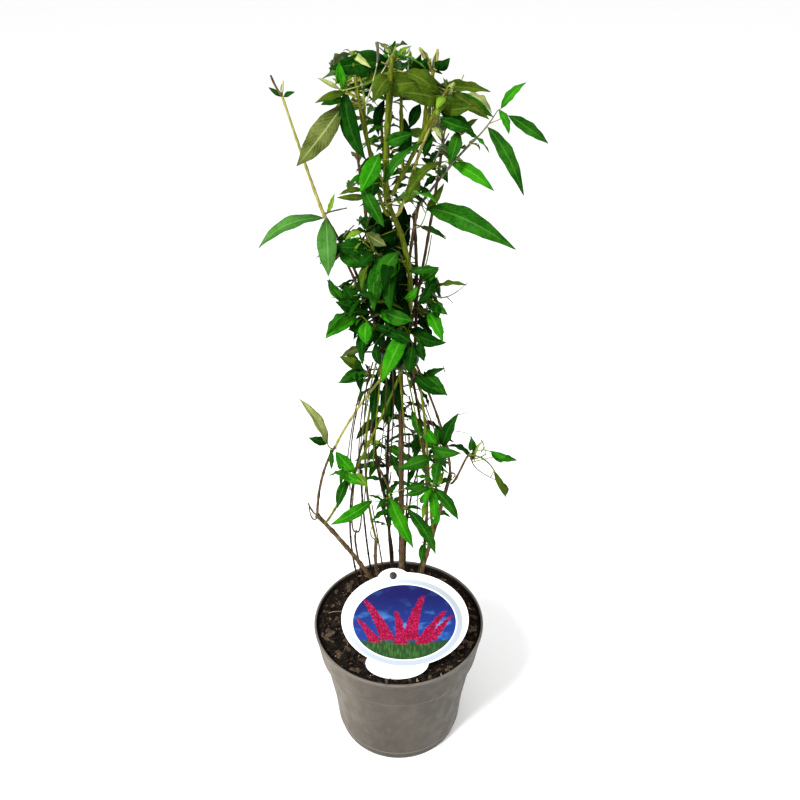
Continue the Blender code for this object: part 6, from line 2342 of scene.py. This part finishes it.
    def grow_infill(self, row: Infill) -> None:
        """Grows short leafy side shoots along a stretch of a limb."""
        curve = Cubic(self.skeleton.path(row.limb).points)
        draw = random.Random(f"{row.limb} {row.low} infill")
        first_turn = draw.uniform(0, 180)
        for pair in range(row.pairs):
            share = row.low + (row.high - row.low) * (pair + 0.5) / row.pairs
            place, axis = curve.at(share), curve.axis(share)
            for half in PAIR:
                turn = first_turn + NEXT_PAIR * pair + half + draw.gauss(0, 14)
                towards, rise = bearings(self.aim(axis, math.radians(turn)))
                rise -= row.droop * draw.uniform(0.5, 1.6)
                length = row.leaf * draw.uniform(0.6, 1.15)
                stalk = row.stalk * draw.uniform(0.2, 1.3)
                blade = Blade(
                    share, stalk, towards, rise, length,
                    length * self.width_share * draw.uniform(0.9, 1.15),
                    draw.uniform(-self.roll, self.roll), self.tone(draw),
                )
                self.add_blade(blade, place, self.skeleton.radius(row.limb, share), draw)

    def add_free_leaves(self) -> None:
        """Adds the listed leaves, each with a stalk from the nearest stem when that stem is near.
        """
        rows = [(storey, row) for storey, group in FREE_LEAVES.items() for row in group]
        for number, (storey, row) in enumerate(rows):
            if storey != self.storey:
                continue
            start = metres(row.place)
            foot = self.skeleton.nearest(start)
            if 0.001 < (start - foot).length < self.longest_stalk:
                self.add_twig(foot, start, self.side_radius * 1.4)
            blade = Blade(0, 0, row.towards, row.rise, row.length, row.width, row.roll, row.tone)
            self.add_leaf(leaf_from(blade, start, random.Random(number)))

    def build(self) -> list[bpy.types.Object]:
        """Builds and dresses the storey.

        Returns:
            Its leaves and its twigs.
        """
        self.leaf_mesh.loops.layers.uv.verify()
        sprays = [name for name in SPRAYS if name.startswith(self.spray_names)]
        for name in sprays:
            self.grow_spray(name)
        for row in self.infills:
            self.grow_infill(row)
        self.add_free_leaves()
        leaves = add_mesh_object(f"{self.storey}_leaves", self.leaf_mesh)
        body = leaves.modifiers.new("leaf body", "SOLIDIFY")
        body.thickness, body.offset = self.felt_depth, -1.0
        body.material_offset = len(self.leaf_tones.used)
        finishes = [
            faces[tone].material()
            for faces in (UPPER_FACES, UNDER_FACES) for tone in self.leaf_tones.used
        ]
        dress(leaves, finishes, "leaf", sprays)
        twigs = add_mesh_object(f"{self.storey}_twigs", self.twig_mesh)
        dress(twigs, [BARKS[wood].material() for wood in self.twig_woods.used], "young wood", [])
        LOG.info("%s: %d leaves", self.storey, self.count)
        return [leaves, twigs]


@dataclass(frozen=True)
class Studio:
    """A pale floor, soft light from the upper left, and the photograph's point of view."""

    view: Viewpoint = Viewpoint()
    floor_size: float = 30.0
    floor: Colour = (0.975, 0.975, 0.975)
    world: float = 1.0
    lights: tuple[tuple[str, Place, float, float], ...] = (
        ("key_light", (-1.3, -1.5, 2.3), 100.0, 0.6), ("side_light", (1.7, -0.6, 1.3), 4.0, 1.0),
    )
    aim: Place = (0.0, 0.0, 0.4)

    def build(self) -> None:
        """Adds the floor, the lights and the camera."""
        scene = bpy.context.scene
        scene.view_settings.view_transform = "Standard"
        bm = bmesh.new()
        bmesh.ops.create_grid(bm, x_segments=1, y_segments=1, size=self.floor_size)
        bmesh.ops.translate(bm, verts=bm.verts, vec=(0, 0, -0.0005))
        floor = add_mesh_object("studio_floor", bm)
        recipe = Recipe("studio floor", self.floor, 0.9)
        floor.data.materials.append(recipe.finish(self.floor))
        world = bpy.data.worlds.new("studio world")
        world.use_nodes = True
        sky = world.node_tree.nodes["Background"]
        sky.inputs["Color"].default_value = (1.0, 1.0, 1.0, 1.0)
        sky.inputs["Strength"].default_value = self.world
        scene.world = world
        for light in self.lights:
            self.add_light(*light)
        optics = bpy.data.cameras.new("camera")
        optics.sensor_width, optics.lens = self.view.sensor, self.view.focal_length
        camera = bpy.data.objects.new("camera", optics)
        camera.location = self.view.place
        camera.rotation_euler = (math.radians(self.view.pitch), 0.0, 0.0)
        scene.collection.objects.link(camera)
        scene.camera = camera

    def add_light(self, name: str, place: Place, power: float, size: float) -> None:
        """Adds a square soft light that faces the middle of the bush."""
        lamp = bpy.data.lights.new(name, "AREA")
        lamp.energy, lamp.size = power, size
        item = bpy.data.objects.new(name, lamp)
        item.location = place
        aim = Vector(self.aim) - Vector(place)
        item.rotation_euler = aim.to_track_quat("-Z", "Y").to_euler()
        bpy.context.scene.collection.objects.link(item)


OLD_STEMS = (
    "main_stem", "low_left_stem", "low_left_rise", "low_left_link", "upright_left_stem",
    "inner_left_rise", "main_left_fork", "low_right_stem", "low_right_rise", "low_right_arm",
    "inner_right_rise", "back_right_stem", "back_left_stem",
)
YOUNG_BOUGHS = tuple(name for name in LIMBS if name not in OLD_STEMS)


def at_the_back(kind: str, *row: float) -> tuple[Infill, ...]:
    """The same infill on the left and the right limb of a kind at the back."""
    return tuple(Infill(f"back_{side}_{kind}", *row) for side in ("left", "right"))


def storeys(skeleton: Skeleton, sight: Sight) -> list[Foliage]:
    """The four storeys of foliage, from the crown down.

    Args:
        skeleton: The limbs that they grow on.
        sight: What they leave free in the picture.

    Returns:
        The storeys, not yet built.
    """
    return [
        Foliage(
            "crown",
            ("crown",),
            (
                Infill("crown_bough", 0.05, 0.95, 9, 22, 5),
                Infill("crown_left_bough", 0.2, 0.95, 4, 22, 5),
                Infill("crown_right_bough", 0.25, 0.95, 4, 20, 4),
                Infill("crown_back_bough", 0.10, 0.98, 13, 30, 7),
                *at_the_back("bough", 0.50, 0.99, 14, 32, 7),
                Infill("thin_right_bough", 0.55, 0.98, 2, 12, 3),
            ),
            {Tone.DARK: 30, Tone.MID: 32, Tone.BRIGHT: 12, Tone.OLIVE: 14, Tone.FRESH: 8,
             Tone.PALE: 4},
            skeleton, sight, Wood.STRAW,
        ),
        Foliage(
            "upper",
            ("upper",),
            (
                Infill("centre_leader", 0.05, 0.98, 20, 36, 9, 62),
                Infill("right_leader", 0.05, 0.95, 16, 34, 8, 62),
                Infill("left_bough", 0.05, 0.80, 9, 28, 6, 50),
                *at_the_back("bough", 0.04, 0.60, 20, 36, 9, 55),
            ),
            # Painted shade: most leaves inside this storey take the deep tone.
            {Tone.PAINTED_SHADE: 50, Tone.DARK: 34, Tone.MID: 10, Tone.BRIGHT: 2, Tone.OLIVE: 4},
            skeleton, sight,
        ),
        Foliage(
            "middle",
            ("mid",),
            (
                Infill("main_stem", 0.80, 0.99, 4, 28, 6, 66),
                Infill("inner_left_rise", 0.70, 0.97, 2, 24, 4, 66),
                Infill("main_left_fork", 0.70, 0.97, 3, 26, 4, 66),
                Infill("inner_right_rise", 0.76, 0.97, 2, 24, 4, 66),
                *at_the_back("stem", 0.62, 0.97, 13, 32, 8, 56),
            ),
            # Painted shade: many leaves inside this storey take the deep tone.
            {Tone.PAINTED_SHADE: 34, Tone.DARK: 40, Tone.MID: 20, Tone.BRIGHT: 4, Tone.OLIVE: 2},
            skeleton, sight,
        ),
        Foliage(
            "lower",
            ("low", "right"),
            (
                *at_the_back("stem", 0.30, 0.62, 7, 28, 7),
            ),
            {Tone.DARK: 30, Tone.MID: 38, Tone.BRIGHT: 22, Tone.FRESH: 6, Tone.OLIVE: 4},
            skeleton, sight, Wood.GREEN,
        ),
    ]


def main(frame: dict[str, object]) -> None:
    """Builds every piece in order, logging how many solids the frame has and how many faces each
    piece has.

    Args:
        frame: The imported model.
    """
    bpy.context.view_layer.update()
    LOG.info("the frame has %d solids", len(frame["nodes"]))
    Studio().build()
    skeleton = Skeleton()
    pot = NurseryPot()
    pot.build()
    bed = CompostBed(pot)
    bed.build_bed()
    bed.build_chips()
    StemBand().build()
    card = PlantCard()
    card.build_card()
    card.build_peg()
    StemSet("old_stems", "old wood", OLD_STEMS, skeleton).build()
    StemSet("young_boughs", "young wood", YOUNG_BOUGHS, skeleton).build()
    BareTwigs(skeleton).build()
    for storey in storeys(skeleton, Sight(skeleton)):
        storey.build()


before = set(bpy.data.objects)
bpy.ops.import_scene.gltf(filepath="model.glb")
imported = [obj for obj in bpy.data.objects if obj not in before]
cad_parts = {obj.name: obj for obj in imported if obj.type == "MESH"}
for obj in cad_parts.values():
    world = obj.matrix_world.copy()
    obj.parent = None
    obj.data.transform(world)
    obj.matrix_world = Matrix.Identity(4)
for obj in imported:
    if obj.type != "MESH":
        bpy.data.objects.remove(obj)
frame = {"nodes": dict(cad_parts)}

if __name__ == "__main__":
    logging.basicConfig(level=logging.INFO)
    main(frame)
